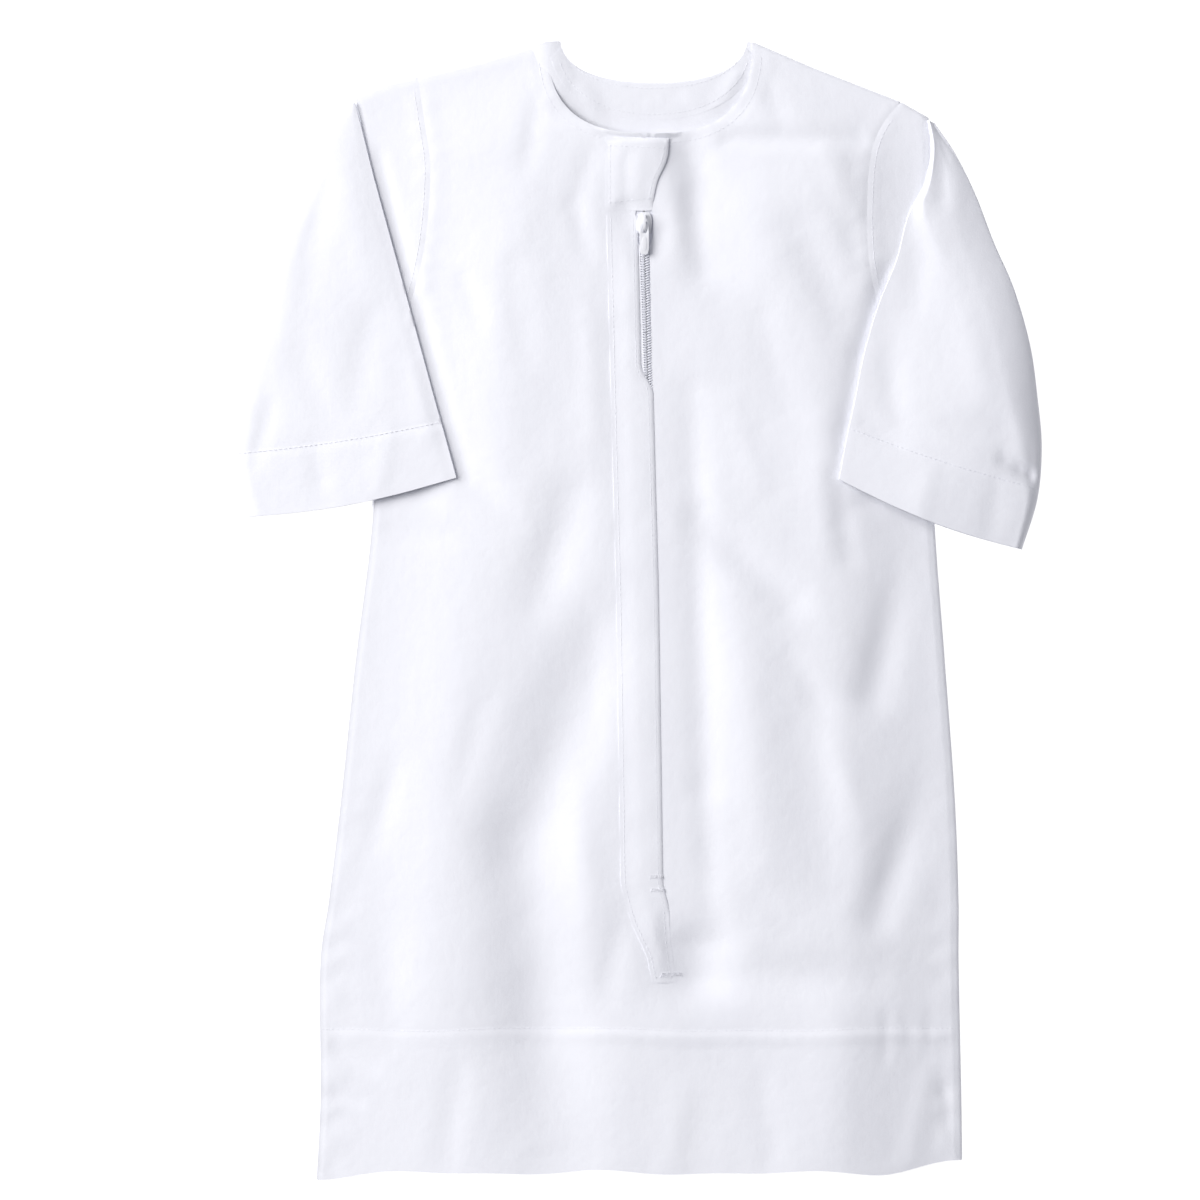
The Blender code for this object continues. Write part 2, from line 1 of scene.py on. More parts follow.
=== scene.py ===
"""The look of a child's zip-front thobe robe in white cotton, laid flat with its sleeves turned down.

Places on the robe are (out, drop): millimetres sideways from the middle of the neck, towards +X, and
millimetres down from the shoulder points at the neck, towards -Y. Heights are millimetres above the surface
under the robe.
"""

from collections import namedtuple
from math import cos, pi, radians, sin

import bmesh
import bpy
import numpy as np
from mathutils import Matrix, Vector, geometry


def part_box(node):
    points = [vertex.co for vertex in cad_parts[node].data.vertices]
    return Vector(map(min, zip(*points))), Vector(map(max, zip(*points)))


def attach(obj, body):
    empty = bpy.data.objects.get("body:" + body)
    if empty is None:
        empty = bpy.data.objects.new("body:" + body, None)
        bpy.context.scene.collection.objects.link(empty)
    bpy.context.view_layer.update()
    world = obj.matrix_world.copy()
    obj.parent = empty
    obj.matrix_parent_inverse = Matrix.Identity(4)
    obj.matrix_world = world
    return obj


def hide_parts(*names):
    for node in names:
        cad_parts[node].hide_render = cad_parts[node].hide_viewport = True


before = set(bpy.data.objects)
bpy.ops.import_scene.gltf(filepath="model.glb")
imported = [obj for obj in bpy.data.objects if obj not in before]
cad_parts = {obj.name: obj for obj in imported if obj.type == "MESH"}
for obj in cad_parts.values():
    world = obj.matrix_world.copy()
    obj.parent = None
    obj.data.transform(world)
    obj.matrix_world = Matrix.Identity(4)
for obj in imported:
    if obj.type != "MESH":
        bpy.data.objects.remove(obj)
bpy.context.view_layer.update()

MM = 0.001
GARMENT = "garment"
PULL_BODY = "pull_tab"

front_low, front_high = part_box("front")
pull_low, pull_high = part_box("zip_pull")

# The robe's own frame: the front's box gives the shoulder points and the middle of the neck
NECK_OFF_CENTRE = 6.0
NECK_X = (front_low[0] + front_high[0]) / 2 / MM + NECK_OFF_CENTRE
SHOULDER_Y = front_high[1] / MM

# The cloth
CLOTH = 0.35
DOUBLED = 0.7
GRAIN = 2.4
EDGE_STEPS = (0.8, 1.9, 3.4, 5.2)
EDGE_GRAIN = 1.9
SEAM_LEVEL = 2 * CLOTH + 0.1
SEAM_ROUND = 1.25

# The body's shape
NECK_HALF_WIDTH = 55.0
FRONT_NECK_DROP = 49.8
FRONT_NECK_POWER = 2.6
BACK_NECK_DROP = 22.0
BACK_NECK_POWER = 2.2
BACK_NECK_HALF_WIDTH = 50.0
BACK_NECK_SHIFT = 2.0
FACING_DEPTH = 20.0
AIR = 4.0
RIGHT_AIR = 2.0
HEM_AIR = 3.9
HEM_RIDGE = 0.6
HEM_CORNER_DROP = 610.0
HEM_STITCH_DROP = 531.0
HEM_STEP = 6.0
HEM_BAND = (-3.8, -2.4, -1.2, -0.2, 0.7, 1.6, 3.2)
NEAR_EDGE = 12.0
CUFF_HEM_DEPTH = 35.0
ZIP_START = 50.0
ZIP_FADE = 30.0
ZIP_STOP = 500.0
ZIP_PRESS = 0.8
ZIP_LEVEL = 5.3
ZIP_FOOT_LEVEL = 4.9
ZIP_ZONE = 9.0
ZIP_ZONE_FADE = 26.0
SLIDER_DIP_LEVEL = 4.3
SLIDER_DIP_REACH = 15.0
FOOT_OUT = 26.0
FOOT_WIDTH = 16.0
FOOT_DROP = 495.0
FOOT_RUN = 7.0
FOOT_FADE = 12.0
FOOT_LEVEL = 1.6
NECK_EDGE_LEVEL = 4.3
SIDE_SEAM_INSET = 1.7
ARMHOLE_GROOVE = 0.07

Reach = namedtuple("Reach", "spread roll")
LEFT_EDGE = Reach(90.0, 1.2)
RIGHT_EDGE = Reach(66.0, 5.0)
SHOULDER_EDGE = Reach(52.0, 2.0)

Place = namedtuple("Place", "out drop")
Opening = namedtuple("Opening", "drop middle half_width")
Fold = namedtuple("Fold", "out drop to_out to_drop width rise")
Station = namedtuple(
    "Station", "inner_out inner_drop outer_out outer_drop fullness inner_round peak sag outer_round"
)


def table(kind, *rows):
    """Rows of numbers, with the names of a kind's columns."""
    return tuple(kind(*map(float, row)) for row in rows)


SHOULDER = table(
    Place, (-160, 30), (-140, 22), (-125, 19), (-90, 10.5), (-NECK_HALF_WIDTH, 0), (NECK_HALF_WIDTH, 0),
    (88, 14.2), (135, 32.5), (150, 41),
)
ARMHOLES = {
    "left": table(
        Place, (-125, 19), (-121, 45), (-118, 68), (-121, 108), (-128, 138), (-137, 156), (-146, 166),
    ),
    "right": table(
        Place, (135, 32.5), (126, 43), (120, 56), (117, 75), (117, 112), (122, 138), (134, 157),
        (150, 166),
    ),
}
SIDES = {
    "left": table(
        Place, (-146, 166), (-150, 257), (-159, 332), (-167, 408), (-173.5, 462), (-178, 494),
        (-178, 569), (-180, 612),
    ),
    "right": table(
        Place, (150, 166), (153, 257), (158.5, 332), (164, 408), (166, 462), (166, 494), (167.5, 569),
        (168, 612),
    ),
}
HEAD_LIMITS = {
    "left": table(Place, (-159.5, 29.8), (-156, 45), (-150, 90), (-146, 165.9)),
    "right": table(Place, (149.8, 40.9), (151, 58), (150, 90), (150, 165.9)),
}
SLIT = table(
    Opening, (FRONT_NECK_DROP, -3.5, 1.2), (89, -3.2, 1.2), (91, -3.2, 4.8), (105.5, -3, 4.8),
    (110, -2.9, 2.6), (180, -1.2, 1.9), (300, 2, 1.4), (453, 4.3, 1.2), (466, 7.6, 0.3), (475, 10.5, 0.2),
    (492, 18.5, 0.2), (507, 21.5, 0.2),
)
SLIT_END = 473.0
SLIT_CUT = 3.0

# Folds of the body's front: ridges rise and troughs sink
BROAD_FOLDS = table(
    Fold,
    (-27, 322, -66, 430, 21, -3.9),
    (-66, 430, -58, 520, 21, -3.5),
    (-58, 520, -48, 592, 24, -3.3),
    (-43, 246, -59, 300, 13, -2.2),
    (19, 190, 27, 400, 10, -2.2),
    (36, 46, 40, 120, 24, -1.5),
    (27, 400, 32, 480, 9, -1.4),
    (27, 257, 75, 300, 10, -2),
    (137, 289, 122, 350, 11, -4.6),
    (148, 405, 124, 470, 11, -4.6),
    (48, 300, 62, 440, 16, 2.2),
    (82, 104, 104, 146, 14, -2.7),
    (-110, 300, -122, 500, 26, 2.2),
    (-74, 90, -84, 220, 22, 1.4),
    (100, 520, 96, 596, 22, 1.6),
    (40, 500, 118, 506, 13, -2.2),
    (86, 360, 98, 452, 15, -1.3),
    (-146, 474, -140, 530, 11, -1.8),
    (96, 210, 104, 262, 15, 1.8),
    (-122, 116, -94, 236, 11, -1.2),
)
NARROW_FOLDS = table(
    Fold,
    (42, 52.5, 112, 53, 5.4, -1.3),
    (-31, 60, -40, 88, 6.5, -0.7),
    (-40, 88, -34, 114, 5.5, -0.7),
    (20, 50, 20, 90, 11, -2.3),
    (24, 60, 31, 114, 17, -1.8),
    (19, 88, 26, 122, 9, -1.6),
    (100, 236, 106, 276, 7, -1.4),
    (-72, 122, -68, 168, 9, -0.9),
    (-100, 128, -92, 150, 6, -0.6),
    (-32, 150, -30, 210, 7, 0.5),
    (-98, 226, -76, 258, 8, -0.6),
    (-60, 30, -66, 66, 6, -0.7),
    (62, 22, 70, 44, 6, -0.6),
    (129, 128, 119, 166, 8, -3),
    (116, 172, 106, 230, 9, -1.8),
    (-147, 62, -98.5, 234, 4.5, -1.1),
    (96, 60, 108, 92, 7, 0.7),
    (106, 96, 112, 122, 6, -0.6),
    (60, 150, 74, 196, 9, -0.7),
    (44, 196, 58, 236, 8, 0.6),
    (-90, 356, -102, 402, 8, -0.6),
    (-38, 404, -34, 470, 9, 0.8),
    (-138, 392, -148, 430, 7, -0.7),
    (-172, 540, -150, 552, 5, -0.7),
    (-176, 566, -158, 570, 4, -0.6),
    (127, 522, 126, 548, 3.4, -0.4),
    (138, 526, 140, 540, 3.2, -0.3),
    (151, 522, 149, 545, 3.2, -0.3),
    (158, 556, 164, 588, 4.5, -0.8),
    (148, 560, 140, 600, 7, 0.7),
    (60, 560, 66, 602, 8, -0.6),
    (18, 566, 10, 606, 9, 0.7),
    (-104, 556, -110, 604, 8, -0.8),
    (112, 250, 140, 232, 7, -0.9),
    (120, 226, 146, 205, 6, -0.8),
    (-118, 246, -140, 232, 6, -0.8),
    (-112, 268, -142, 262, 7, -0.6),
    (76, 332, 92, 356, 7, -0.7),
    (100, 380, 112, 420, 8, 0.7),
    (30, 452, 58, 470, 7, 0.6),
    (-14, 470, -24, 512, 8, -0.8),
)
SLEEVE_FOLDS = {
    "left": table(
        Fold,
        (-166, 60, -150, 132, 10, 0.7),
        (-176, 80, -186, 130, 8, -0.6),
        (-190, 120, -200, 170, 8, 0.5),
        (-150, 150, -160, 196, 9, -0.7),
        (-186, 168, -172, 208, 8, -0.5),
        (-126, 176, -120, 210, 6, 0.5),
        (-204, 196, -212, 226, 5, -0.6),
        (-140, 212, -146, 240, 6, 0.5),
        (-180, 216, -176, 246, 6, -0.5),
    ),
    "right": table(
        Fold,
        (157, 50, 157, 84, 6, -1.3),
        (146, 100, 143, 140, 8, -0.8),
        (134, 150, 128, 190, 9, -0.5),
        (170, 150, 180, 196, 9, 0.6),
        (128, 176, 134, 206, 7, -0.7),
        (190, 225.5, 216, 240, 4, -2.1),
        (199, 230.5, 216, 240, 3.4, -1.5),
        (180, 206, 206, 226, 10, -1.5),
        (160, 206, 186, 220, 6, -0.7),
        (116, 206, 132, 216, 5, -0.6),
        (150, 232, 144, 256, 6, 0.5),
        (186, 240, 182, 264, 6, -0.6),
    ),
}
BACK_FOLDS = table(
    Fold,
    (-60, 120, -82, 260, 12, 0.8),
    (44, 96, 66, 214, 10, 0.7),
    (-20, 240, 8, 372, 13, 0.9),
    (96, 280, 84, 404, 12, 0.8),
    (-112, 330, -96, 452, 12, 0.8),
    (30, 430, 18, 548, 13, 0.8),
    (-60, 500, -64, 596, 10, 0.6),
    (110, 470, 118, 570, 10, 0.7),
    (-34, 26, -26, 44, 5, 0.5),
    (22, 30, 36, 46, 5, 0.5),
)

SLEEVES = {
    "left": table(
        Station,
        (-158.5, 33, -163, 35, 0.1, 2, 0.2, 0.5, 4),
        (-154.5, 48, -174, 51, 0.2, 6, 0.3, 1, 7),
        (-148, 74, -188.8, 85, 0.3, 8, 0.4, 1.3, 10),
        (-139.5, 105, -203, 116, 0.4, 8, 0.4, 1.4, 12),
        (-131, 136, -212, 149, 0.4, 8, 0.4, 1.5, 12),
        (-122.5, 167, -220, 181, 0.4, 8, 0.4, 1.5, 12),
        (-116.5, 189, -225.5, 205, 0.4, 8, 0.4, 1.5, 12),
        (-110, 212, -225.5, 231, 0.4, 8, 0.4, 1.5, 11),
        (-103.8, 234.6, -219.5, 256, 0.4, 8, 0.4, 1.4, 10),
    ),
    "right": table(
        Station,
        (149, 42.5, 153, 44, 1.4, 1.5, 0.1, 2, 4),
        (151, 58, 164, 60, 2.4, 2, 0.1, 3.2, 9),
        (147.5, 76, 175, 82, 2.6, 4, 0.1, 3, 18),
        (138.5, 94, 185, 108, 2, 20, 0.35, 2.4, 22),
        (132.5, 117, 195.5, 132, 2.6, 46, 0.5, 1.4, 22),
        (122.5, 142, 204.5, 163, 3.5, 60, 0.6, 1, 21),
        (115, 167, 208.5, 191, 4, 70, 0.7, 0.8, 19),
        (109.5, 194, 210.8, 218, 3.4, 70, 0.7, 1.1, 14),
        (104.5, 217, 208.5, 246, 2, 50, 0.5, 3.2, 6),
        (101.1, 235.6, 200.1, 273.3, 1.2, 40, 0.4, 4.4, 3.5),
    ),
}
CUFF_BOW = 4.0
SLEEVE_RINGS = 116
SLEEVE_COLUMNS = 58
INNER_EDGE = {"left": 1.0, "right": 1.2}
CLOSED = 0.75
SLEEVE_EDGE = 0.35
SLEEVE_OPEN = 0.7
OUTER_POWER = 1.6

# The strip and the tab over the zip
PLACKET_TOP = 93.5
PLACKET_END = 506.0
PLACKET_REACH = 20.0
BESIDE_CHAIN = 3.5
LAP = 2.6
LAP_START = 174.0
LAP_RUN = 16.0
LAP_END = 462.0
FOOT_BEND = 36.0
FOOT_SET_BACK = 6.8
TAB_TOP = 52.2
TAB_RIGHT = table(Place, (10, TAB_TOP), (9.6, 61), (7.4, 68), (4.4, 74), (2.4, 82), (1, 91.3))
TAB_LEFT = table(Place, (-24, TAB_TOP), (-24, 91.3))
TAB_LIFT = 0.6

# Sewing
STITCH_PITCH = 2.7
STITCH_LENGTH = 2.1
THREAD = 0.28
Tack = namedtuple("Tack", "out drop length")
TACKS = table(Tack, (0, 449, 7), (0.6, 456, 7), (6, 501.5, 11))
TACK_STEPS = 20
TACK_PITCH = 0.55
TACK_LENGTH = 1.1
TACK_THREAD = 0.3
UNIT_SIZES = (0.9, 1.06)
SEED = 7

# The zip
CHAIN_START_DROP = 100.0
CHAIN_END_DROP = 456.0
TAPE_START_DROP = 62.0
TAPE_END_DROP = 464.0
TAPE_GAP = 0.35
TAPE_REACH = 14.0
COIL_PITCH = 1.35
COIL_BAR = 3.0
COIL_WIDTH = 0.95
COIL_LEAN = 0.24
SLIDER_DROP = 98.0
SLIDER_HALF_LENGTH = 6.0
SLIDER_HALF_WIDTH = 4.0
SLIDER_FLOOR = 1.3
SLIDER_ROOF = 5.2
SLIDER_PLATE = 1.0
BRIDGE_HALF_WIDTH = 0.8
BRIDGE_HALF_LENGTH = 4.5
BRIDGE_TOP = 9.3
BRIDGE_BAR = 1.1
PULL_LENGTH = 17.0

# The stage and the camera, in metres
FLOOR_HALF = 4.0
FLOOR_LEVEL = -0.0002
FRAME_WIDTH = 0.6458
FRAME_MIDDLE = (-0.0194, 0.0051)
CAMERA_HEIGHT = 2.4


def smooth(amount):
    """A soft step from 0 to 1."""
    amount = np.clip(amount, 0, 1)
    return amount * amount * (3 - 2 * amount)


def ramp(value, start, run):
    """A soft step from 0, where a value passes the start, to 1 at the end of the run."""
    return smooth((value - start) / run)


def round_step(amount):
    """A quarter circle from 0 to 1, for an edge that rolls under."""
    amount = np.clip(amount, 0, 1)
    return np.sqrt(1 - (1 - amount) ** 2)


def bump(distance, width):
    """A soft hump of height 1, for a ridge or a groove."""
    return np.exp(-(distance / width) ** 2)


def mix(a, b, share):
    return a + (b - a) * share


def through(places, spacing=2):
    """A smooth line of (out, drop) points through a few places."""
    knots = np.array([tuple(place) for place in places], float)
    ends = np.vstack([2 * knots[0] - knots[1], knots, 2 * knots[-1] - knots[-2]])
    line = [knots[0]]
    for before, start, end, after in zip(ends, ends[1:], ends[2:], ends[3:]):
        length = np.linalg.norm(end - start)
        enter = (end - before) * length / (length + np.linalg.norm(start - before))
        leave = (after - start) * length / (length + np.linalg.norm(after - end))
        for t in np.linspace(0, 1, max(3, int(length / spacing)))[1:]:
            line.append(
                (2 * t**3 - 3 * t**2 + 1) * start
                + (t**3 - 2 * t**2 + t) * enter
                + (3 * t**2 - 2 * t**3) * end
                + (t**3 - t**2) * leave
            )
    return np.array(line)


def resample(line, count):
    """The same line with a given number of evenly spaced points."""
    line = np.asarray(line, float)
    run = np.concatenate([[0], np.cumsum(np.linalg.norm(np.diff(line, axis=0), axis=1))])
    at = np.linspace(0, run[-1], count)
    return np.column_stack([np.interp(at, run, line[:, axis]) for axis in range(line.shape[1])])


def spaced(line, spacing):
    """The same line with points about this far apart."""
    length = np.linalg.norm(np.diff(line, axis=0), axis=1).sum()
    return resample(line, max(2, round(length / spacing) + 1))


def beside(line, step):
    """A line moved sideways by a step, towards its right-hand side as it runs down the robe."""
    along = np.gradient(line, axis=0)
    aside = np.column_stack([along[:, 1], -along[:, 0]])
    aside /= np.linalg.norm(aside, axis=1)[:, None] + 1e-9
    return line + aside * step


def line_at(line, drop):
    """How far out a line is at each drop."""
    return np.interp(drop, line[:, 1], line[:, 0])


def column(rows, where, by, field):
    """Reads a table's named column where another of its columns has a value."""
    return np.interp(where, [getattr(row, by) for row in rows], [getattr(row, field) for row in rows])


def slit_middle(drop):
    return column(SLIT, drop, "drop", "middle")


def shoulder_drop(out):
    return column(SHOULDER, out, "out", "drop")


def hem_drop(out):
    """The hem hangs a little lower at the left, lifts at its right corner and waves in between."""
    wave = 0.9 * np.sin(out / 17) + 0.6 * np.sin(out / 9.5 + 1.2)
    return 608 + 3 * ramp(out, -120, -60) - 6 * ramp(out, 120, 48) + wave


def neckline(half_width, depth, power, count=400):
    """A round neckline from the left shoulder point to the right one."""
    angle = np.linspace(0, pi, count)
    out = -np.sign(np.cos(angle)) * half_width * np.abs(np.cos(angle)) ** (2 / power)
    return np.column_stack([out, depth * np.sin(angle) ** (2 / power)])


def back_neckline(inset, lower):
    """The back neck, or a line round it that is so much narrower and lower."""
    line = neckline(BACK_NECK_HALF_WIDTH - inset, BACK_NECK_DROP + lower, BACK_NECK_POWER)
    return line + (BACK_NECK_SHIFT, 0)


ARMHOLE_LINES = {side: through(ARMHOLES[side]) for side in ARMHOLES}
SIDE_LINES = {side: through(SIDES[side]) for side in SIDES}
HEAD_LINES = {side: through(HEAD_LIMITS[side]) for side in HEAD_LIMITS}
BODY_EDGES = {side: np.vstack([ARMHOLE_LINES[side], SIDE_LINES[side][1:]]) for side in SIDES}
CLOTH_EDGES = {side: np.vstack([HEAD_LINES[side], SIDE_LINES[side]]) for side in SIDES}
FRONT_NECK = neckline(NECK_HALF_WIDTH, FRONT_NECK_DROP, FRONT_NECK_POWER)
BACK_NECK = back_neckline(0, 0)
TAB_EDGES = {"left": through(TAB_LEFT), "right": through(TAB_RIGHT)}


def fold_heights(out, drop, folds):
    """How much the folds lift or sink the cloth at each place."""
    total = np.zeros_like(out)
    for fold in folds:
        run = fold.to_out - fold.out
        fall = fold.to_drop - fold.drop
        share = ((out - fold.out) * run + (drop - fold.drop) * fall) / (run * run + fall * fall)
        nearest = np.clip(share, 0, 1)
        away = np.hypot(
            out - mix(fold.out, fold.to_out, nearest),
            drop - mix(fold.drop, fold.to_drop, nearest),
        )
        total += fold.rise * mix(0.65, 1, np.sin(pi * nearest)) * bump(away, fold.width)
    return total


def rumple(out, drop):
    """The slight unevenness that loose cotton has everywhere."""
    slow = np.sin(out / 23 + 1.7 * np.sin(drop / 41)) * np.sin(drop / 37 + 0.8 * np.sin(out / 29))
    quick = np.sin(out / 8.3 + 2.1 * np.sin(drop / 19)) * np.sin(drop / 14 + 1.3 * np.sin(out / 11))
    return 0.35 * slow + 0.09 * quick


def distance_to(out, drop, line):
    """Distance from each place to the nearest point of a line."""
    nearest = np.full(out.shape, 1e9)
    for point in line:
        nearest = np.minimum(nearest, (out - point[0]) ** 2 + (drop - point[1]) ** 2)
    return np.sqrt(nearest)


def armhole_seams(out, drop, near):
    """The seams round the armholes: a groove, a low roll beside it, and small puckers."""
    total = np.zeros_like(out)
    for line in ARMHOLE_LINES.values():
        away = np.abs(out - line_at(line, drop)) + 1e3 * (drop > line[-1, 1])
        puckers = 0.1 * np.sin(drop / 2.3 + np.sin(drop / 9)) * bump(away - 5, 4)
        groove = ARMHOLE_GROOVE * (1 + 0.6 * np.sin(drop / 6)) * bump(away, 1.5)
        total += near * (0.22 * bump(away - 3.5, 4.5) + puckers) - groove
    return total


def hem_stitching(out):
    """The drop of the hem's stitching, which wanders a little."""
    return HEM_STITCH_DROP + 0.7 * np.sin(out / 29) + 0.3 * np.sin(out / 11)


def body_level(out, drop, fine=True):
    """The upper face of the front and the sleeve heads, one surface; fine adds seams and creases."""
    out = np.asarray(out, float)
    drop = np.asarray(drop, float)
    from_left = out - line_at(CLOTH_EDGES["left"], drop)
    from_right = line_at(CLOTH_EDGES["right"], drop) - out
    from_shoulder = drop - shoulder_drop(out)
    edges = (from_left, LEFT_EDGE), (from_right, RIGHT_EDGE), (from_shoulder, SHOULDER_EDGE)
    spread = rolled = 1
    for distance, reach in edges:
        spread = spread * smooth(distance / reach.spread)
        rolled = rolled * round_step(distance / reach.roll)
    past_stitching = drop - hem_stitching(out)
    rise = mix(AIR, HEM_AIR, smooth(past_stitching / HEM_STEP)) + RIGHT_AIR * ramp(out, 20, 90)
    rise = rise + fold_heights(out, drop, BROAD_FOLDS) + rumple(out, drop)
    level = SEAM_LEVEL + SEAM_ROUND * rolled + spread * rise
    if fine:
        sideways = np.minimum(from_left, from_right)
        level = with_seams(level, out, drop, sideways, np.minimum(sideways, from_shoulder))
    return np.maximum(pressed_round_zip(level, out, drop), SEAM_LEVEL)


def with_seams(level, out, drop, sideways, inside):
    """Adds the small creases, the hem's stitching and its ridge, and the puckers and grooves of the seams."""
    near = smooth(inside / NEAR_EDGE)
    past_stitching = drop - hem_stitching(out)
    level = level + near * fold_heights(out, drop, NARROW_FOLDS) + armhole_seams(out, drop, near)
    level = level - near * 0.1 * bump(past_stitching, 1.5)
    ridge = near * HEM_RIDGE * bump(past_stitching - 4, 3.4)
    level = level + ridge * mix(0.5, 1, ramp(out, -60, 40))
    puckers = 0.26 * np.sin(drop / 4.1 + 2 * np.sin(drop / 13)) * bump(sideways - 9, 6)
    level = level + puckers * ramp(drop, 380, 80)
    return level - 0.3 * bump(inside - SIDE_SEAM_INSET, 0.7)


def pressed_round_zip(level, out, drop):
    """Brings the cloth to an even level beside the zip, lower under the slider and by the strip's foot."""
    from_slit = np.abs(out - slit_middle(drop))
    zip_share = smooth((ZIP_ZONE + ZIP_ZONE_FADE - from_slit) / ZIP_ZONE_FADE)
    zip_share = zip_share * ramp(drop, ZIP_START, ZIP_FADE) * (1 - ramp(drop, ZIP_STOP, ZIP_FADE))
    along_zip = mix(ZIP_LEVEL, ZIP_FOOT_LEVEL, ramp(drop, 440, 60)) + 0.12 * np.sin(drop / 13)
    level = mix(level, along_zip, ZIP_PRESS * zip_share)
    from_slider = np.hypot(out - slit_middle(SLIDER_DROP), 0.8 * (drop - SLIDER_DROP))
    level = mix(level, SLIDER_DIP_LEVEL, smooth(1.4 * bump(from_slider, SLIDER_DIP_REACH)))
    beside_foot = (out - FOOT_OUT) / FOOT_WIDTH
    past_foot = np.maximum(0, np.abs(drop - FOOT_DROP) - FOOT_RUN) / FOOT_FADE
    return mix(level, FOOT_LEVEL, bump(np.hypot(beside_foot, past_foot), 1))


def back_level(out, drop):
    """The back lies on the surface and lifts off it in a few shallow folds."""
    inside = np.minimum(out - line_at(BODY_EDGES["left"], drop), line_at(BODY_EDGES["right"], drop) - out)
    return CLOTH + smooth(inside / 30) * fold_heights(out, drop, BACK_FOLDS) + neck_curl(out, drop)


def neck_curl(out, drop):
    """The back neck curls up to the front's edge at the left, and stands in a low ridge at the right."""
    from_neck = distance_to(out, drop, FRONT_NECK[::3])
    left = 2.7 * smooth(-(out + 20) / 16) * bump(from_neck, 12) * ramp(drop, 46, -22)
    right = 0.6 * ramp(out, 26, 10) * bump(from_neck - 7, 4)
    return left + right * ramp(drop, 13, 7) * ramp(drop, 42, -8)


def facing_level(out, drop):
    """The facing lies on the back; its lower edge is pressed thin."""
    lower_edge = back_neckline(-6, FACING_DEPTH)
    pressed = smooth(distance_to(out, drop, lower_edge[::4]) / 7)
    return back_level(out, drop) + 0.08 + (CLOTH - 0.02) * pressed


def front_level(out, drop):
    """The front's upper face; its neck edge sinks to the facing at the sides and rolls over the tab's end."""
    from_neck = distance_to(out, drop, FRONT_NECK[::3])
    roll = 0.4 * (1 - round_step(from_neck / 2.2))
    level = body_level(out, drop)
    lowered = np.minimum(level, NECK_EDGE_LEVEL)
    near_neck = smooth(1 - from_neck / 20) * ramp(drop, 48, -14)
    over_tab = smooth((24 - np.abs(out + 6)) / 8)
    band = (0.9 * bump(from_neck - 0.6, 1.1) - 0.9 * bump(from_neck - 3.2, 1.2)) * over_tab
    return mix(level, lowered, near_neck) - roll + 0.15 * bump(from_neck - 9, 2) + band


def placket_right(drop):
    """The strip's right edge: beside the chain, then lapped over it, and off the slit again at the foot."""
    from_slit = mix(-BESIDE_CHAIN, LAP, ramp(drop, LAP_START, LAP_RUN))
    return slit_middle(drop) + mix(from_slit, -FOOT_SET_BACK, ramp(drop, LAP_END, FOOT_BEND))


def placket_sides(from_left, from_right, from_ends, count):
    """Two lines down the strip, so far inside its left and right edges and its ends."""
    drops = np.linspace(PLACKET_TOP + from_ends, PLACKET_END - from_ends, count)
    left = np.column_stack([slit_middle(drops) - PLACKET_REACH + from_left, drops])
    right = np.column_stack([placket_right(drops) - from_right, drops])
    return left, right


def placket_rise(out, drop):
    """From 0 at the strip's left and upper edges, where it is sewn flat, to 1 inside them."""
    return smooth(np.minimum(out - slit_middle(drop) + PLACKET_REACH, drop - PLACKET_TOP) / 12)


def placket_level(out, drop):
    """The strip grows out of the front, sinks at its stitching and ends in a soft right edge."""
    from_right = placket_right(drop) - out
    height = mix(0.06, DOUBLED + 0.12, placket_rise(out, drop))
    sunk = mix(0.6, 0.75, ramp(drop, 466, 12))
    flattened = ramp(drop, 458, 16)
    edge = sunk * (mix(round_step(from_right / 3), smooth(from_right / 10), flattened) - 1)
    groove = -0.1 * bump(from_right - 2.6, 1.2)
    wave = 0.14 * (1 + np.sin(drop / 7 + 1.4 * np.sin(drop / 23))) * smooth(from_right / 9)
    return body_level(out, drop) + height + edge + groove + wave


def tab_from_edge(out, drop):
    """How far a place on the tab is from its left and lower edges, and from its right and upper edges."""
    low = np.minimum(out - line_at(TAB_EDGES["left"], drop), TAB_LEFT[-1].drop - drop)
    high = np.minimum(line_at(TAB_EDGES["right"], drop) - out, drop - TAB_TOP)
    return low, high


def tab_level(out, drop):
    """The tab grows out of the front at its left and foot, and stands off it along its right edge."""
    lift = TAB_LIFT * ramp(out, -16, 22) * ramp(drop, 88, -30)
    low, high = tab_from_edge(out, drop)
    height = mix(0.06, DOUBLED + 0.15, smooth(low / 9))
    edge = 0.35 * (round_step(high / 1.6) - 1)
    top = -1.7 * (1 - ramp(drop, TAB_TOP, 1.6))
    buckle = (0.3 * bump(out + 6, 5) - 0.25 * bump(out + 14, 4)) * ramp(drop, 56, 12)
    return body_level(out, drop) + np.maximum(height + lift + edge + top + buckle, 0.06)


def tab_doubled(out, drop):
    return smooth(tab_from_edge(out, drop)[0] / 8)


def tape_level(out, drop):
    """The zip's tapes hang under the front, and dip to pass through the slider."""
    under = np.minimum(body_level(out, drop), body_level(out, drop, fine=False))
    return under - CLOTH - 0.15


def to_scene(points):
    """Turns rows of (out, drop, height) in millimetres into metres in the shared frame."""
    points = np.asarray(points, float)
    return np.column_stack([
        (NECK_X + points[:, 0]) * MM,
        (SHOULDER_Y - points[:, 1]) * MM,
        points[:, 2] * MM,
    ])


def add_object(name, data):
    made = bpy.data.objects.new(name, data)
    bpy.context.collection.objects.link(made)
    return made


def add_mesh(name, verts, faces, material, edges=()):
    mesh = bpy.data.meshes.new(name)
    mesh.from_pydata(
        [tuple(map(float, v)) for v in verts],
        [tuple(map(int, e)) for e in edges],
        [tuple(map(int, f)) for f in faces],
    )
    mesh.materials.append(material)
    return add_object(name, mesh)


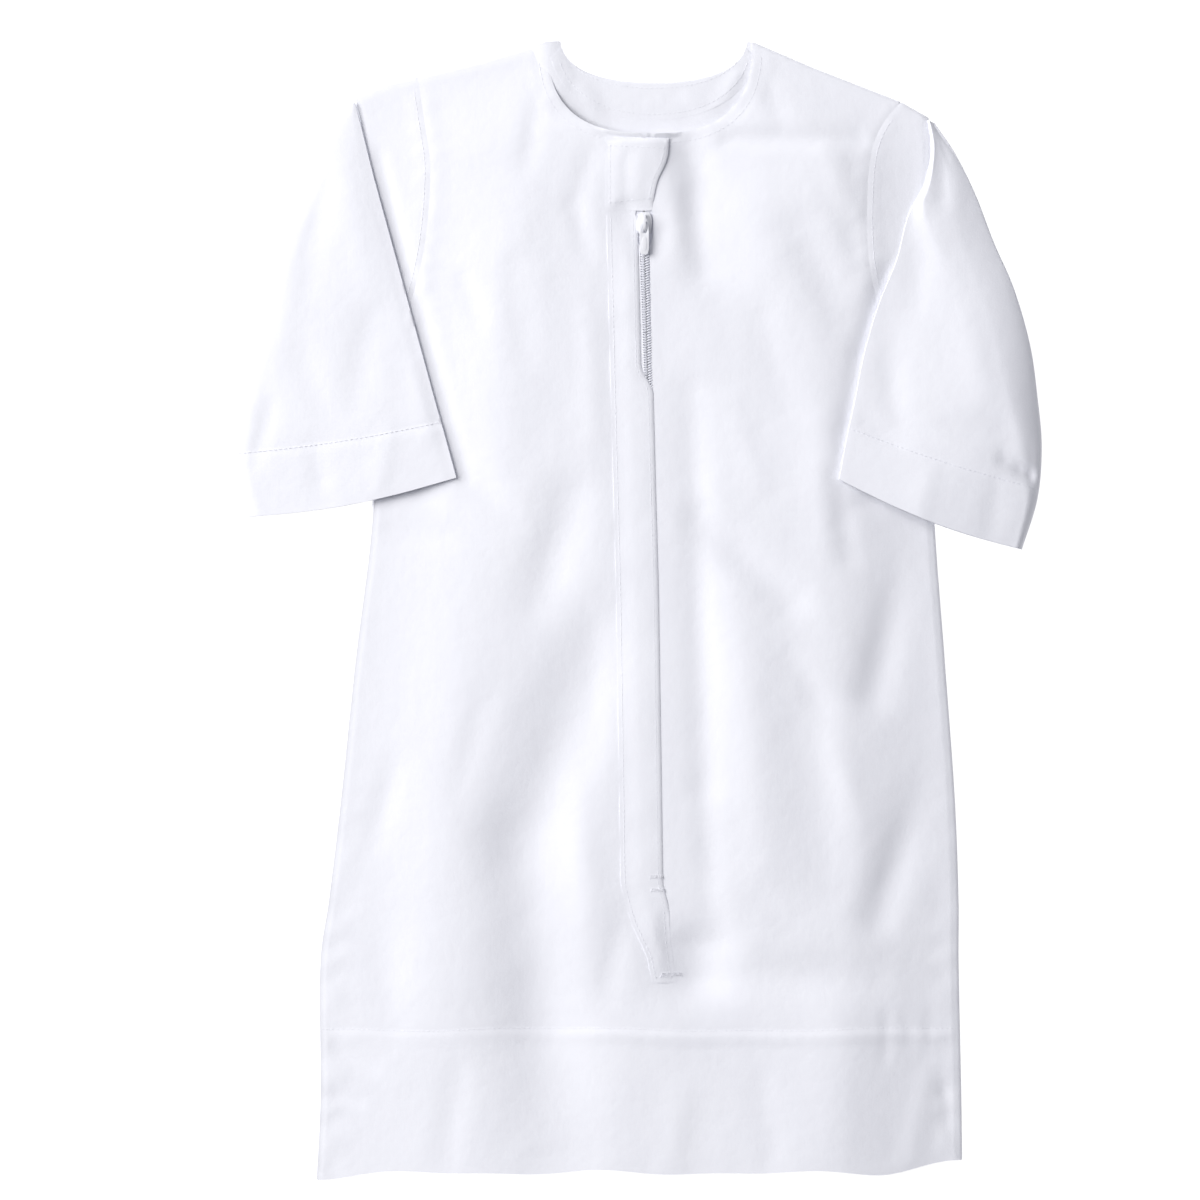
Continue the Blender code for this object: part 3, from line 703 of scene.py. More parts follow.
def bake(obj):
    """Replaces an object's mesh with the one that its modifiers make."""
    depsgraph = bpy.context.evaluated_depsgraph_get()
    baked = bpy.data.meshes.new_from_object(obj.evaluated_get(depsgraph))
    obj.modifiers.clear()
    obj.data = baked


def shade(obj, angle=50):
    obj.data.shade_smooth()
    obj.data.set_sharp_from_angle(angle=radians(angle))


def point_outwards(obj):
    bm = bmesh.new()
    bm.from_mesh(obj.data)
    bmesh.ops.recalc_face_normals(bm, faces=bm.faces[:])
    bm.to_mesh(obj.data)
    bm.free()


def thicken(obj, doubled):
    """Gives a sheet its wall below its upper face: one cloth thick, or two where doubled is 1."""
    group = obj.vertex_groups.new(name="doubled")
    for index, share in enumerate(doubled):
        group.add([index], float(share), "REPLACE")
    wall = obj.modifiers.new("wall", "SOLIDIFY")
    wall.thickness = DOUBLED * MM
    wall.offset = -1
    wall.use_even_offset = False
    wall.vertex_group = group.name
    wall.thickness_vertex_group = CLOTH / DOUBLED
    bake(obj)


def inside_outline(points, outline):
    """Which points are inside a closed outline."""
    inside = np.zeros(len(points), bool)
    for start, end in zip(outline, np.roll(outline, -1, axis=0)):
        if start[1] == end[1]:
            continue
        crosses = (start[1] > points[:, 1]) != (end[1] > points[:, 1])
        at = start[0] + (points[:, 1] - start[1]) * (end[0] - start[0]) / (end[1] - start[1])
        inside ^= crosses & (points[:, 0] < at)
    return inside


def inner_rings(outline):
    """Rings of points just inside an outline, for an edge that rolls."""
    along = np.roll(outline, -1, axis=0) - np.roll(outline, 1, axis=0)
    inward = np.column_stack([-along[:, 1], along[:, 0]])
    inward /= np.linalg.norm(inward, axis=1)[:, None] + 1e-9
    rings = []
    for step in EDGE_STEPS:
        for sign in (1, -1):
            ring = outline + sign * inward * step
            ring = ring[inside_outline(ring, outline)]
            rings.append(ring[distance_to(ring[:, 0], ring[:, 1], outline) > 0.85 * step])
    return np.vstack(rings)


def even_grid(outline, spacing):
    """Points in staggered rows that cover an outline."""
    low, high = outline.min(axis=0), outline.max(axis=0)
    rows = np.arange(low[1], high[1], spacing * sin(pi / 3))
    columns = np.arange(low[0], high[0] + spacing, spacing)
    out = np.tile(columns, (len(rows), 1)) + (np.arange(len(rows)) % 2)[:, None] * spacing / 2
    drop = np.tile(rows[:, None], (1, len(columns)))
    return np.column_stack([out.ravel(), drop.ravel()])


def cloth_sheet(name, outline, level, doubled, material, grain, bands):
    """A sheet of cloth that fills a closed outline, lifted to a level."""
    outline = spaced(np.vstack([outline, outline[:1]]), EDGE_GRAIN)[:-1]
    fixed = [outline, inner_rings(outline)]
    grid = even_grid(outline, grain)
    grid = grid[inside_outline(grid, outline)]
    grid = grid[distance_to(grid[:, 0], grid[:, 1], outline) > EDGE_STEPS[-1] + 0.6 * grain]
    for band in bands:
        band = band[inside_outline(band, outline)]
        band = band[distance_to(band[:, 0], band[:, 1], outline) > EDGE_STEPS[-1]]
        grid = grid[distance_to(grid[:, 0], grid[:, 1], band[::2]) > 0.7 * grain]
        fixed.append(band)
    points = np.vstack(fixed + [grid])
    filled = geometry.delaunay_2d_cdt([Vector(p) for p in points], [], [list(range(len(outline)))], 1, 1e-4)
    flat = np.array([tuple(p) for p in filled[0]])
    heights = level(flat[:, 0], flat[:, 1])
    made = add_mesh(name, to_scene(np.column_stack([flat, heights])), filled[2], material)
    if sum(face.normal.z for face in made.data.polygons) < 0:
        made.data.flip_normals()
    thicken(made, doubled(flat[:, 0], flat[:, 1]))
    shade(made)
    return made


def single(out, drop):
    return np.zeros_like(out)


def hem_doubled(out, drop):
    return (drop > HEM_STITCH_DROP).astype(float)


def declare(obj, node, outline, held="laid", rests_on=(), layers=1, slot="cotton"):
    """Attaches a piece of cloth to the robe's body and hides the node that it stands for."""
    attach(obj, GARMENT)
    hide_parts(node)


def make_sheet(name, node, outline, level, doubled, material, grain=GRAIN, bands=(), **said):
    declare(cloth_sheet(name, outline, level, doubled, material, grain, bands), node, outline, **said)


def side_line(side):
    """The front's edge down one side, from the shoulder to the hem."""
    line = BODY_EDGES[side]
    return line[line[:, 1] < hem_drop(line[:, 0])]


def across_body(drop, inset, count, drop_at):
    """A line from just inside the left side to just inside the right one, at the drops of a function."""
    left, right = (line_at(line, drop) for line in SIDE_LINES.values())
    out = np.linspace(left + inset, right - inset, count)
    return np.column_stack([out, drop_at(out)])


def hem_stitch_line():
    return across_body(HEM_STITCH_DROP, 2, 190, hem_stitching)


def shoulder_line(start, end):
    out = np.linspace(start, end, 20)
    return np.column_stack([out, shoulder_drop(out)])


def slit_side(towards):
    """One side of the zip's slit, from its top to its lower end."""
    drops = np.linspace(SLIT[0].drop, SLIT_END, 240)
    out = slit_middle(drops) + towards * column(SLIT, drops, "drop", "half_width")
    return np.column_stack([out, drops])


def body_outline(shift, half_width, *neck):
    """Round the front or the back: left shoulder, left side, hem, right side, right shoulder and neck."""
    return np.vstack([
        shoulder_line(shift - half_width, ARMHOLES["left"][0].out)[:-1],
        side_line("left"),
        across_body(HEM_CORNER_DROP, 0, 180, hem_drop),
        side_line("right")[::-1],
        shoulder_line(ARMHOLES["right"][0].out, shift + half_width)[1:],
        *neck,
    ])


def make_front(cotton):
    """The front's neck is cut open at the zip's slit."""
    middle = SLIT[0].middle
    left_neck = FRONT_NECK[FRONT_NECK[:, 0] < middle - SLIT_CUT]
    right_neck = FRONT_NECK[FRONT_NECK[:, 0] > middle + SLIT_CUT]
    neck = right_neck[::-1][1:], slit_side(1), slit_side(-1)[::-1], left_neck[::-1][:-1]
    outline = body_outline(0, NECK_HALF_WIDTH, *neck)
    stitched = spaced(hem_stitch_line(), EDGE_GRAIN)
    band = np.vstack([beside(stitched, step) for step in HEM_BAND])
    said = {"bands": [band], "rests_on": ["back"]}
    make_sheet("robe_front", "front", outline, front_level, hem_doubled, cotton, **said)


def make_back(cotton):
    outline = body_outline(BACK_NECK_SHIFT, BACK_NECK_HALF_WIDTH, BACK_NECK[::-1][1:-1])
    make_sheet("robe_back", "back", outline, back_level, single, cotton, grain=3.6)


def make_neck_facing(cotton):
    inner = back_neckline(0.4, 0.8)
    outer = back_neckline(-6, FACING_DEPTH)
    outline = np.vstack([outer[outer[:, 1] > 9], inner[inner[:, 1] > 3][::-1]])
    said = {"grain": 1.8, "rests_on": ["back"]}
    make_sheet("back_neck_facing", "neck_facing", outline, facing_level, single, cotton, **said)


def make_placket(cotton):
    left, right = placket_sides(0, 0, 0, 260)
    outline = np.vstack([left, right[::-1]])
    said = {"grain": 1.5, "rests_on": ["front"]}
    make_sheet("placket_strip", "placket", outline, placket_level, placket_rise, cotton, **said)


def make_neck_tab(cotton):
    outline = np.vstack([TAB_EDGES["left"], TAB_EDGES["right"][::-1]])
    said = {"grain": 1.3, "rests_on": ["front"]}
    make_sheet("neck_tab_flap", "neck_tab", outline, tab_level, tab_doubled, cotton, **said)


def make_sleeve_head(side, cotton):
    seam, limit = ARMHOLE_LINES[side], HEAD_LINES[side]
    outline = np.vstack([seam, limit[::-1], shoulder_line(limit[0, 0], seam[0, 0])[1:-1]])
    node = f"sleeve_head_{side}"
    said = {"grain": EDGE_GRAIN, "held": "folded", "rests_on": ["back"]}
    make_sheet(f"{node}_cloth", node, outline, body_level, single, cotton, **said)


def sleeve_rest(out, drop, fine=True):
    """The height that a sleeve rests at: over the body and sleeve head, or on the surface outside them."""
    left, right = (line_at(CLOTH_EDGES[side], drop) for side in ("left", "right"))
    over = body_level(np.clip(out, left + 1, right - 1), drop, fine) + CLOTH + 0.25
    beyond = np.maximum(left - out, out - right)
    return mix(over, CLOTH, ramp(beyond, 1, 18))


def sleeve_row(side, share):
    """A sleeve's numbers at a share of its way from the fold on the shoulder to the cuff."""
    at = np.linspace(0, 1, len(SLEEVES[side]))
    return Station(*(np.interp(share, at, values) for values in zip(*SLEEVES[side])))


def sleeve_ring(side, share, inner, outer, length):
    """One ring round a sleeve: its upper wall outwards, and its lower wall."""
    row = sleeve_row(side, share)
    width = np.linalg.norm(outer - inner)
    first = min(SLEEVE_EDGE / width, 0.02)
    evenly = np.linspace(0, 1, SLEEVE_COLUMNS)
    between = mix(0.5 - 0.5 * np.cos(np.linspace(0, pi, SLEEVE_COLUMNS)), evenly, 0.55)
    across = np.concatenate([[0], mix(first, 1 - first, between), [1]])
    past_stitching = share * length - (length - CUFF_HEM_DEPTH)
    out = mix(inner[0], outer[0], across)
    drop = mix(inner[1], outer[1], across) + CUFF_BOW * share ** 4 * np.sin(pi * across)
    from_inner, from_outer = across * width, (1 - across) * width
    rest = sleeve_rest(out, drop)
    inner_rise = mix(INNER_EDGE[side], CLOSED, ramp(share, 0.2, 0.2))
    base = sleeve_rest(out[:1], drop[:1], fine=False)[0] + inner_rise
    rising = smooth(from_inner / row.inner_round)
    falling = 1 - np.clip(from_outer / row.outer_round, 0, 1)
    rim = (1 - falling ** OUTER_POWER) ** (1 / OUTER_POWER)
    past_peak = np.clip((across - row.peak) / (1 - row.peak), 0, 1)
    top = base + row.fullness * rising - row.sag * past_peak ** 1.5
    crown = mix(CLOTH + SLEEVE_OPEN, top, rim)
    wrinkled = fold_heights(out, drop, SLEEVE_FOLDS[side]) + 0.7 * rumple(out + 40, drop)
    crown += wrinkled * smooth(from_outer / 7) * smooth(0.4 + from_inner / 6)
    crown += 0.3 * smooth(past_stitching / 5) - 0.12 * bump(past_stitching, 1.8)
    closing = round_step(np.minimum(from_inner, from_outer) / SLEEVE_EDGE)
    crown = np.maximum(crown, rest + CLOSED)
    middle = mix(rest, crown, 0.5)
    upper = mix(middle, crown, closing)
    lower = mix(middle, rest, closing)
    return np.column_stack([out, drop, upper]), np.column_stack([out, drop, lower])


def make_sleeve(side, cotton):
    """A flattened tube from its fold on the shoulder to its open cuff; returns its stitch line."""
    rows = SLEEVES[side]
    inner_line = resample(through([(row.inner_out, row.inner_drop) for row in rows]), SLEEVE_RINGS)
    outer_line = resample(through([(row.outer_out, row.outer_drop) for row in rows]), SLEEVE_RINGS)
    length = np.linalg.norm(np.diff(outer_line, axis=0), axis=1).sum()
    rings = []
    doubled = []
    for index in range(SLEEVE_RINGS):
        share = index / (SLEEVE_RINGS - 1)
        upper, lower = sleeve_ring(side, share, inner_line[index], outer_line[index], length)
        rings.append(np.vstack([upper, lower[-2:0:-1]]))
        hemmed = share * length > length - CUFF_HEM_DEPTH
        if hemmed and not any(doubled):
            stitch_line = upper[3:-3]
        doubled += [float(hemmed)] * len(rings[-1])
    around = len(rings[0])
    index = np.arange(SLEEVE_RINGS * around).reshape(SLEEVE_RINGS, around)
    after = np.roll(index, -1, axis=1)
    walls = np.stack([corner.ravel() for corner in (index[:-1], index[1:], after[1:], after[:-1])], axis=1)
    made = add_mesh(f"sleeve_{side}_cloth", to_scene(np.vstack(rings)), [*walls, index[0]], cotton)
    point_outwards(made)
    upward = sum(face.normal.z * face.area for face in made.data.polygons if face.center.z > 6 * MM)
    if upward < 0:
        made.data.flip_normals()
    thicken(made, doubled)
    shade(made)
    outline = np.vstack([inner_line, outer_line[::-1]])
    declare(made, f"sleeve_{side}", outline, held="folded", rests_on=["front"], layers=2)
    return stitch_line


def add_node(tree, kind, given=None, **settings):
    """Adds a node, with its settings, and gives its inputs a value or another node's output."""
    made = tree.nodes.new(kind)
    for name, value in settings.items():
        setattr(made, name, value)
    for name, value in (given or {}).items():
        if isinstance(value, bpy.types.NodeSocket):
            tree.links.new(value, made.inputs[name])
        else:
            made.inputs[name].default_value = value
    return made


def new_geometry_tree(name, sizes):
    """A geometry tree with a geometry input, a number input for each size and a seed."""
    tree = bpy.data.node_groups.new(name, "GeometryNodeTree")
    tree.interface.new_socket("Geometry", in_out="INPUT", socket_type="NodeSocketGeometry")
    for size in sizes:
        tree.interface.new_socket(size, in_out="INPUT", socket_type="NodeSocketFloat")
    tree.interface.new_socket("Seed", in_out="INPUT", socket_type="NodeSocketInt")
    tree.interface.new_socket("Geometry", in_out="OUTPUT", socket_type="NodeSocketGeometry")
    return tree, tree.nodes.new("NodeGroupInput").outputs


def place_along_lines(tree, given, unit, material):
    """Sets a unit along every line at the pitch, turned to the line, and realizes it as one mesh."""
    path = add_node(tree, "GeometryNodeMeshToCurve", {"Mesh": given["Geometry"]}).outputs["Curve"]
    pitched = {"Curve": path, "Length": given["Pitch"]}
    points = add_node(tree, "GeometryNodeCurveToPoints", pitched, mode="LENGTH").outputs
    turned = {"Vector": points["Tangent"]}
    for pivot in ("Z", "AUTO"):
        turn = add_node(tree, "FunctionNodeAlignRotationToVector", turned, axis="X", pivot_axis=pivot)
        turned["Rotation"] = turn.outputs["Rotation"]
    size = add_node(tree, "FunctionNodeRandomValue", {"Seed": given["Seed"]}, data_type="FLOAT")
    size.inputs[2].default_value, size.inputs[3].default_value = UNIT_SIZES
    units = {
        "Points": points["Points"], "Instance": unit, "Rotation": turned["Rotation"], "Scale": size.outputs[1]
    }
    placed = add_node(tree, "GeometryNodeInstanceOnPoints", units).outputs["Instances"]
    for kind in ("GeometryNodeRealizeInstances", "GeometryNodeSetShadeSmooth", "GeometryNodeSetMaterial"):
        last = add_node(tree, kind, {"Geometry": placed})
        placed = last.outputs["Geometry"]
    last.inputs["Material"].default_value = material
    add_node(tree, "NodeGroupOutput", {"Geometry": placed})


def moved(tree, shape, **given):
    return add_node(tree, "GeometryNodeTransform", {"Geometry": shape, **given}).outputs["Geometry"]


def capsule(tree, length, width, turn=0.0, move=(0.0, 0.0, 0.0)):
    """A rounded bar along X, as long and wide as the given outputs say, then turned and moved."""
    ball = add_node(tree, "GeometryNodeMeshUVSphere", {"Segments": 6, "Rings": 5, "Radius": 0.5})
    size = add_node(tree, "ShaderNodeCombineXYZ", {"X": width, "Y": width, "Z": length})
    bar = moved(tree, ball.outputs["Mesh"], Scale=size.outputs["Vector"], Rotation=(0.0, pi / 2, 0.0))
    return moved(tree, bar, Rotation=(0.0, 0.0, turn), Translation=move)


def stitch_tree(thread):
    """Sewing stitches along lines."""
    tree, given = new_geometry_tree("sewing_stitches", ("Pitch", "Stitch Length", "Thread Width"))
    unit = capsule(tree, given["Stitch Length"], given["Thread Width"])
    place_along_lines(tree, given, unit, thread)
    return tree


def coil_tree(nylon):
    """The two rows of coil bars along the closed zip."""
    tree, given = new_geometry_tree("zip_coil", ("Pitch", "Bar Length", "Bar Width"))
    aside = 0.4 * COIL_BAR * MM
    both = tree.nodes.new("GeometryNodeJoinGeometry")
    for lean, place in ((COIL_LEAN, (0.0, aside, 0.0)), (-COIL_LEAN, (COIL_PITCH / 2 * MM, -aside, 0.0))):
        bar = capsule(tree, given["Bar Length"], given["Bar Width"], turn=pi / 2 + lean, move=place)
        tree.links.new(bar, both.inputs["Geometry"])
    place_along_lines(tree, given, both.outputs["Geometry"], nylon)
    return tree


def repeat_along(name, tree, lines, material, slot, **sizes):
    """Runs a geometry tree along lines of (out, drop, height) and keeps the result as a plain mesh."""
    verts = to_scene(np.vstack(lines))
    edges = []
    start = 0
    for line in lines:
        edges += [(start + index, start + index + 1) for index in range(len(line) - 1)]
        start += len(line)
    made = add_mesh(name, verts, [], material, edges)
    repeated = made.modifiers.new("repeated", "NODES")
    repeated.node_group = tree
    values = {label.replace("_", " ").title(): value * MM for label, value in sizes.items()}
    for item in tree.interface.items_tree:
        if item.in_out == "INPUT" and item.name in values:
            repeated[item.identifier] = values[item.name]
        if item.name == "Seed":
            repeated[item.identifier] = SEED
    bake(made)
    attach(made, GARMENT)
    return made


def raised(line, level, above=0.06):
    """A sewing line of (out, drop) points laid on a piece's upper face."""
    line = spaced(np.asarray(line, float), 1.5)
    return np.column_stack([line, level(line[:, 0], line[:, 1]) + above])


def neck_stitch_lines():
    """Stitching round the front neck, up to the tab, and round the back neck's facing."""
    front = neckline(NECK_HALF_WIDTH + 5.0, FRONT_NECK_DROP + 5.0, FRONT_NECK_POWER)
    front = front[front[:, 1] > 9.0]
    upper = back_neckline(1.6, 3.0)
    lower = back_neckline(-2.0, FACING_DEPTH - 3.0)
    return [
        raised(front[front[:, 0] < TAB_LEFT[0].out - 1.0], front_level),
        raised(front[front[:, 0] > TAB_RIGHT[0].out + 3.0], front_level),
        raised(upper[upper[:, 1] > 7.0], facing_level),
        raised(lower[lower[:, 1] > 12.0], facing_level),
    ]


def placket_stitch_lines():
    """Two long lines down the strip and one across its foot."""
    left, right = placket_sides(2.2, 2.6, 3.0, 200)
    foot = np.array([left[-1], right[-1]])
    return [raised(line, placket_level) for line in (left, right, foot)]


def tab_stitch_lines():
    """Stitching round the tab, inside its edge."""
    left = beside(TAB_EDGES["left"], 2.4)[2:-2]
    right = beside(TAB_EDGES["right"], -2.4)[2:-2]
    top = np.array([left[0], right[0]])
    foot = np.array([left[-1], right[-1]])
    return [raised(line, tab_level) for line in (left, right, top, foot)]


def armhole_stitch_lines():
    steps = {"left": -3.0, "right": 3.0}
    return [raised(beside(ARMHOLE_LINES[side], step)[4:-6], body_level) for side, step in steps.items()]


def make_sewing(thread, cuff_lines):
    """All the stitching, and the bar tacks at the foot of the zip."""
    tree = stitch_tree(thread)
    lines = [raised(hem_stitch_line(), front_level)] + [line + (0, 0, 0.3) for line in cuff_lines]
    lines += neck_stitch_lines() + placket_stitch_lines() + tab_stitch_lines() + armhole_stitch_lines()
    repeat_along(
        "topstitching", tree, lines, thread, "cotton",
        pitch=STITCH_PITCH, stitch_length=STITCH_LENGTH, thread_width=THREAD,
    )
    tacks = []
    for out, drop, length in TACKS:
        steps = range(TACK_STEPS + 1)
        path = np.array([(out + length * step / TACK_STEPS, drop + 0.9 * (-1) ** step) for step in steps])
        tacks.append(np.column_stack([path, placket_level(path[:, 0], path[:, 1]) + 0.1]))
    repeat_along(
        "bar_tacks", tree, tacks, thread, "cotton",
        pitch=TACK_PITCH, stitch_length=TACK_LENGTH, thread_width=TACK_THREAD,
    )


def make_zip_tape(side, towards, tape):
    """One woven tape under an edge of the slit."""
    drops = np.linspace(TAPE_START_DROP, TAPE_END_DROP, 220)
    middle = slit_middle(drops)
    inner = np.column_stack([middle + towards * TAPE_GAP, drops])
    outer = np.column_stack([middle + towards * TAPE_REACH, drops])
    outline = np.vstack([inner, outer[::-1]])
    node = f"zip_tape_{side}"
    said = {"grain": 2.2, "rests_on": ["front"], "slot": "zip_tape"}
    make_sheet(f"{node}_cloth", node, outline, tape_level, single, tape, **said)


def make_chain(nylon):
    """The closed coil between the tapes; it passes through the slider and follows the slit."""
    drops = np.linspace(CHAIN_START_DROP, CHAIN_END_DROP, 260)
    middle = slit_middle(drops)
    line = np.column_stack([middle, drops, tape_level(middle, drops) + 0.45])
    made = repeat_along(
        "zip_coil_bars", coil_tree(nylon), [line], nylon, "zip_coil",
        pitch=COIL_PITCH, bar_length=COIL_BAR, bar_width=COIL_WIDTH,
    )
    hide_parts("zip_chain")


def rounded_outline(centre, half_width, half_length, power, count=48):
    """A closed rounded shape of (across, along) points."""
    angle = np.linspace(0, 2 * pi, count, endpoint=False)
    across = np.sign(np.cos(angle)) * np.abs(np.cos(angle)) ** (2 / power) * half_width
    along = np.sign(np.sin(angle)) * np.abs(np.sin(angle)) ** (2 / power) * half_length
    return np.column_stack([centre[0] + across, centre[1] + along])


def add_slab(bm, outline, low, high, place, hole=None):
    """Adds a flat solid between two levels, with a hole of as many points if one is given."""
    def ring(points, level):
        return [bm.verts.new(place(a, b, level)) for a, b in points]

    def wall(first, second):
        for index in range(len(first)):
            after = (index + 1) % len(first)
            bm.faces.new((first[index], first[after], second[after], second[index]))

    bottom, top = ring(outline, low), ring(outline, high)
    wall(bottom, top)
    if hole is None:
        bm.faces.new(bottom)
        bm.faces.new(top)
        return
    inner_bottom, inner_top = ring(hole, low), ring(hole, high)
    wall(inner_bottom, inner_top)
    wall(bottom, inner_bottom)
    wall(top, inner_top)


def finish_hardware(bm, name, material, body, node):
    """Closes a small hard piece's mesh, rounds its edges and sets it in its place."""
    mesh = bpy.data.meshes.new(name)
    bmesh.ops.recalc_face_normals(bm, faces=bm.faces[:])
    bm.to_mesh(mesh)
    bm.free()
    mesh.materials.append(material)
    made = add_object(name, mesh)
    edges = made.modifiers.new("rounded edges", "BEVEL")
    edges.width = 0.22 * MM
    edges.segments = 3
    edges.limit_method = "ANGLE"
    edges.angle_limit = radians(40)
    bake(made)
    shade(made, 40.0)
    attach(made, body)
    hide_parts(node)


def at_slider(across, along, height):
    """A place on the zip's hardware, measured from the middle of the slider."""
    return to_scene([(slit_middle(SLIDER_DROP) + across, SLIDER_DROP + along, height)])[0]


def slider_outline(inset=0.0):
    """Seen from above: a rounded shield, wider where the chain parts."""
    half, long = SLIDER_HALF_WIDTH - inset, SLIDER_HALF_LENGTH - inset
    shares = (0, -1), (0.62, -0.93), (0.95, -0.5), (1, 0), (0.9, 0.55), (0.7, 0.92), (0, 1)
    right = through([(across * half, along * long) for across, along in shares], 0.7)
    left = right[1:-1][::-1] * (-1, 1)
    return np.vstack([right, left])


def make_slider(enamel):
    """Two plates joined by a wedge and side walls, with an arched bridge along the top."""
    def on_edge(along, height, across):
        return at_slider(across, along, height)

    def arch(inset):
        rise = (BRIDGE_TOP - inset - legs) * np.sin(angle) ** 0.55
        return np.column_stack([-np.cos(angle) * (BRIDGE_HALF_LENGTH - inset), legs + rise])

    bm = bmesh.new()
    plate = slider_outline()
    inner_floor, inner_roof = SLIDER_FLOOR + 0.6, SLIDER_ROOF - SLIDER_PLATE
    add_slab(bm, plate, inner_roof, SLIDER_ROOF, at_slider)
    add_slab(bm, plate, SLIDER_FLOOR, inner_floor, at_slider)
    add_slab(bm, rounded_outline((0.0, -4.3), 1.5, 1.5, 2.2, 24), inner_floor, inner_roof, at_slider)
    for towards in (-1, 1):
        wall = rounded_outline((towards * 3.25, 1.6), 0.45, 3.6, 5.0, 24)
        add_slab(bm, wall, inner_floor, inner_roof, at_slider)
    add_slab(bm, slider_outline(0.9), SLIDER_ROOF, SLIDER_ROOF + 0.22, at_slider)
    angle = np.linspace(0, pi, 25)
    legs = SLIDER_ROOF - 0.3
    bridge = np.vstack([arch(0.0), arch(BRIDGE_BAR)[::-1]])
    add_slab(bm, bridge, -BRIDGE_HALF_WIDTH, BRIDGE_HALF_WIDTH, on_edge)
    finish_hardware(bm, "zip_slider_body", enamel, GARMENT, "zip_slider")


def make_pull(enamel):
    """A flat pull with an eye at its top, which hangs on the bridge, and a raised panel on each side."""
    low, high = pull_low[2] / MM, pull_high[2] / MM
    half = (pull_high[0] - pull_low[0]) / MM / 2
    middle = PULL_LENGTH / 2 - 0.3
    bm = bmesh.new()
    outline = rounded_outline((0.0, middle), half, middle + 0.6, 4.5)
    eye = rounded_outline((0.0, 3.1), half - 1.0, 2.5, 3.0)
    add_slab(bm, outline, low, high, at_slider, hole=eye)
    for start, end in ((low - 0.14, low), (high, high + 0.14)):
        add_slab(bm, rounded_outline((0.0, 11.2), 1.35, 3.6, 2.6, 32), start, end, at_slider)
    finish_hardware(bm, "zip_pull_tab", enamel, PULL_BODY, "zip_pull")


def new_material(name, colour, roughness, **sockets):
    """A new material, and its shader with its plain values."""
    made = bpy.data.materials.new(name)
    made.use_nodes = True
    shader = made.node_tree.nodes["Principled BSDF"]
    shader.inputs["Base Color"].default_value = (*colour, 1.0)
    shader.inputs["Roughness"].default_value = roughness
    for socket, value in sockets.items():
        shader.inputs[socket.replace("_", " ")].default_value = value
    return made, shader


def mottled_material(name, colour, roughness, scale, dark, light, **sockets):
    """A material whose colour changes softly between two close ones; returns what its bumps need too."""
    made, shader = new_material(name, colour, roughness, **sockets)
    tree = made.node_tree
    position = add_node(tree, "ShaderNodeTexCoord").outputs["Object"]
    cloud = noise(tree, position, scale, 3.0)
    tint = add_node(tree, "ShaderNodeMix", {"Factor": cloud}, data_type="RGBA")
    tint.inputs[6].default_value = (*dark, 1.0)
    tint.inputs[7].default_value = (*light, 1.0)
    tree.links.new(tint.outputs[2], shader.inputs["Base Color"])
    return made, shader, tree, position


def noise(tree, position, scale, detail, **given):
    given.update({"Vector": position, "Scale": scale, "Detail": detail})
    return add_node(tree, "ShaderNodeTexNoise", given).outputs["Fac"]


def threads(tree, position, direction, pitch, wander=1.2):
    """Parallel threads, as a wave across one axis with a little unevenness."""
    return add_node(
        tree,
        "ShaderNodeTexWave",
        {
            "Vector": position,
            "Scale": pi / 10 / (pitch * MM),
            "Distortion": wander,
            "Detail": 2.0,
            "Detail Scale": 0.35,
        },
        wave_type="BANDS",
        bands_direction=direction,
        wave_profile="SIN",
    ).outputs["Fac"]


def combine(tree, operation, first, second):
    made = add_node(tree, "ShaderNodeMath", operation=operation)
    for socket, value in zip(made.inputs, (first, second)):
        if isinstance(value, bpy.types.NodeSocket):
            tree.links.new(value, socket)
        else:
            socket.default_value = value
    return made.outputs["Value"]


def roughen(tree, shader, height, strength, distance, below=None):
    """Adds a bump to a shader, on top of another bump if one is given."""
    given = {"Height": height, "Strength": strength, "Distance": distance * MM}
    if below is not None:
        given["Normal"] = below
    made = add_node(tree, "ShaderNodeBump", given)
    tree.links.new(made.outputs["Normal"], shader.inputs["Normal"])
    return made.outputs["Normal"]


def cotton_material():
    """Plain-woven white cotton: fine crossed threads, faint slubs and a soft crumple."""
    made, shader, tree, position = mottled_material(
        "white_cotton", (0.87, 0.88, 0.92), roughness=0.86, scale=14.0,
        dark=(0.845, 0.853, 0.905), light=(0.885, 0.893, 0.935), Sheen_Weight=0.12, Sheen_Roughness=0.5,
    )
    warp, weft = (threads(tree, position, direction, 0.42) for direction in ("X", "Y"))
    stretched = add_node(tree, "ShaderNodeMapping", {"Vector": position, "Scale": (2200.0, 90.0, 90.0)})
    slubs = noise(tree, stretched.outputs["Vector"], 1.0, 2.0)
    first = roughen(tree, shader, noise(tree, position, 120.0, 4.0, Roughness=0.55), 0.3, 0.9)
    second = roughen(tree, shader, slubs, 0.25, 0.06, first)
    roughen(tree, shader, combine(tree, "MAXIMUM", warp, weft), 0.5, 0.07, second)
    return made


def thread_material():
    """Sewing thread: brighter and smoother than the cloth, with a twist."""
    made, shader, tree, position = mottled_material(
        "sewing_thread", (0.88, 0.885, 0.93), roughness=0.7, scale=300.0,
        dark=(0.86, 0.865, 0.91), light=(0.9, 0.905, 0.945), Sheen_Weight=0.1,
    )
    roughen(tree, shader, threads(tree, position, "DIAGONAL", 0.3, 0.4), 0.5, 0.05)
    return made


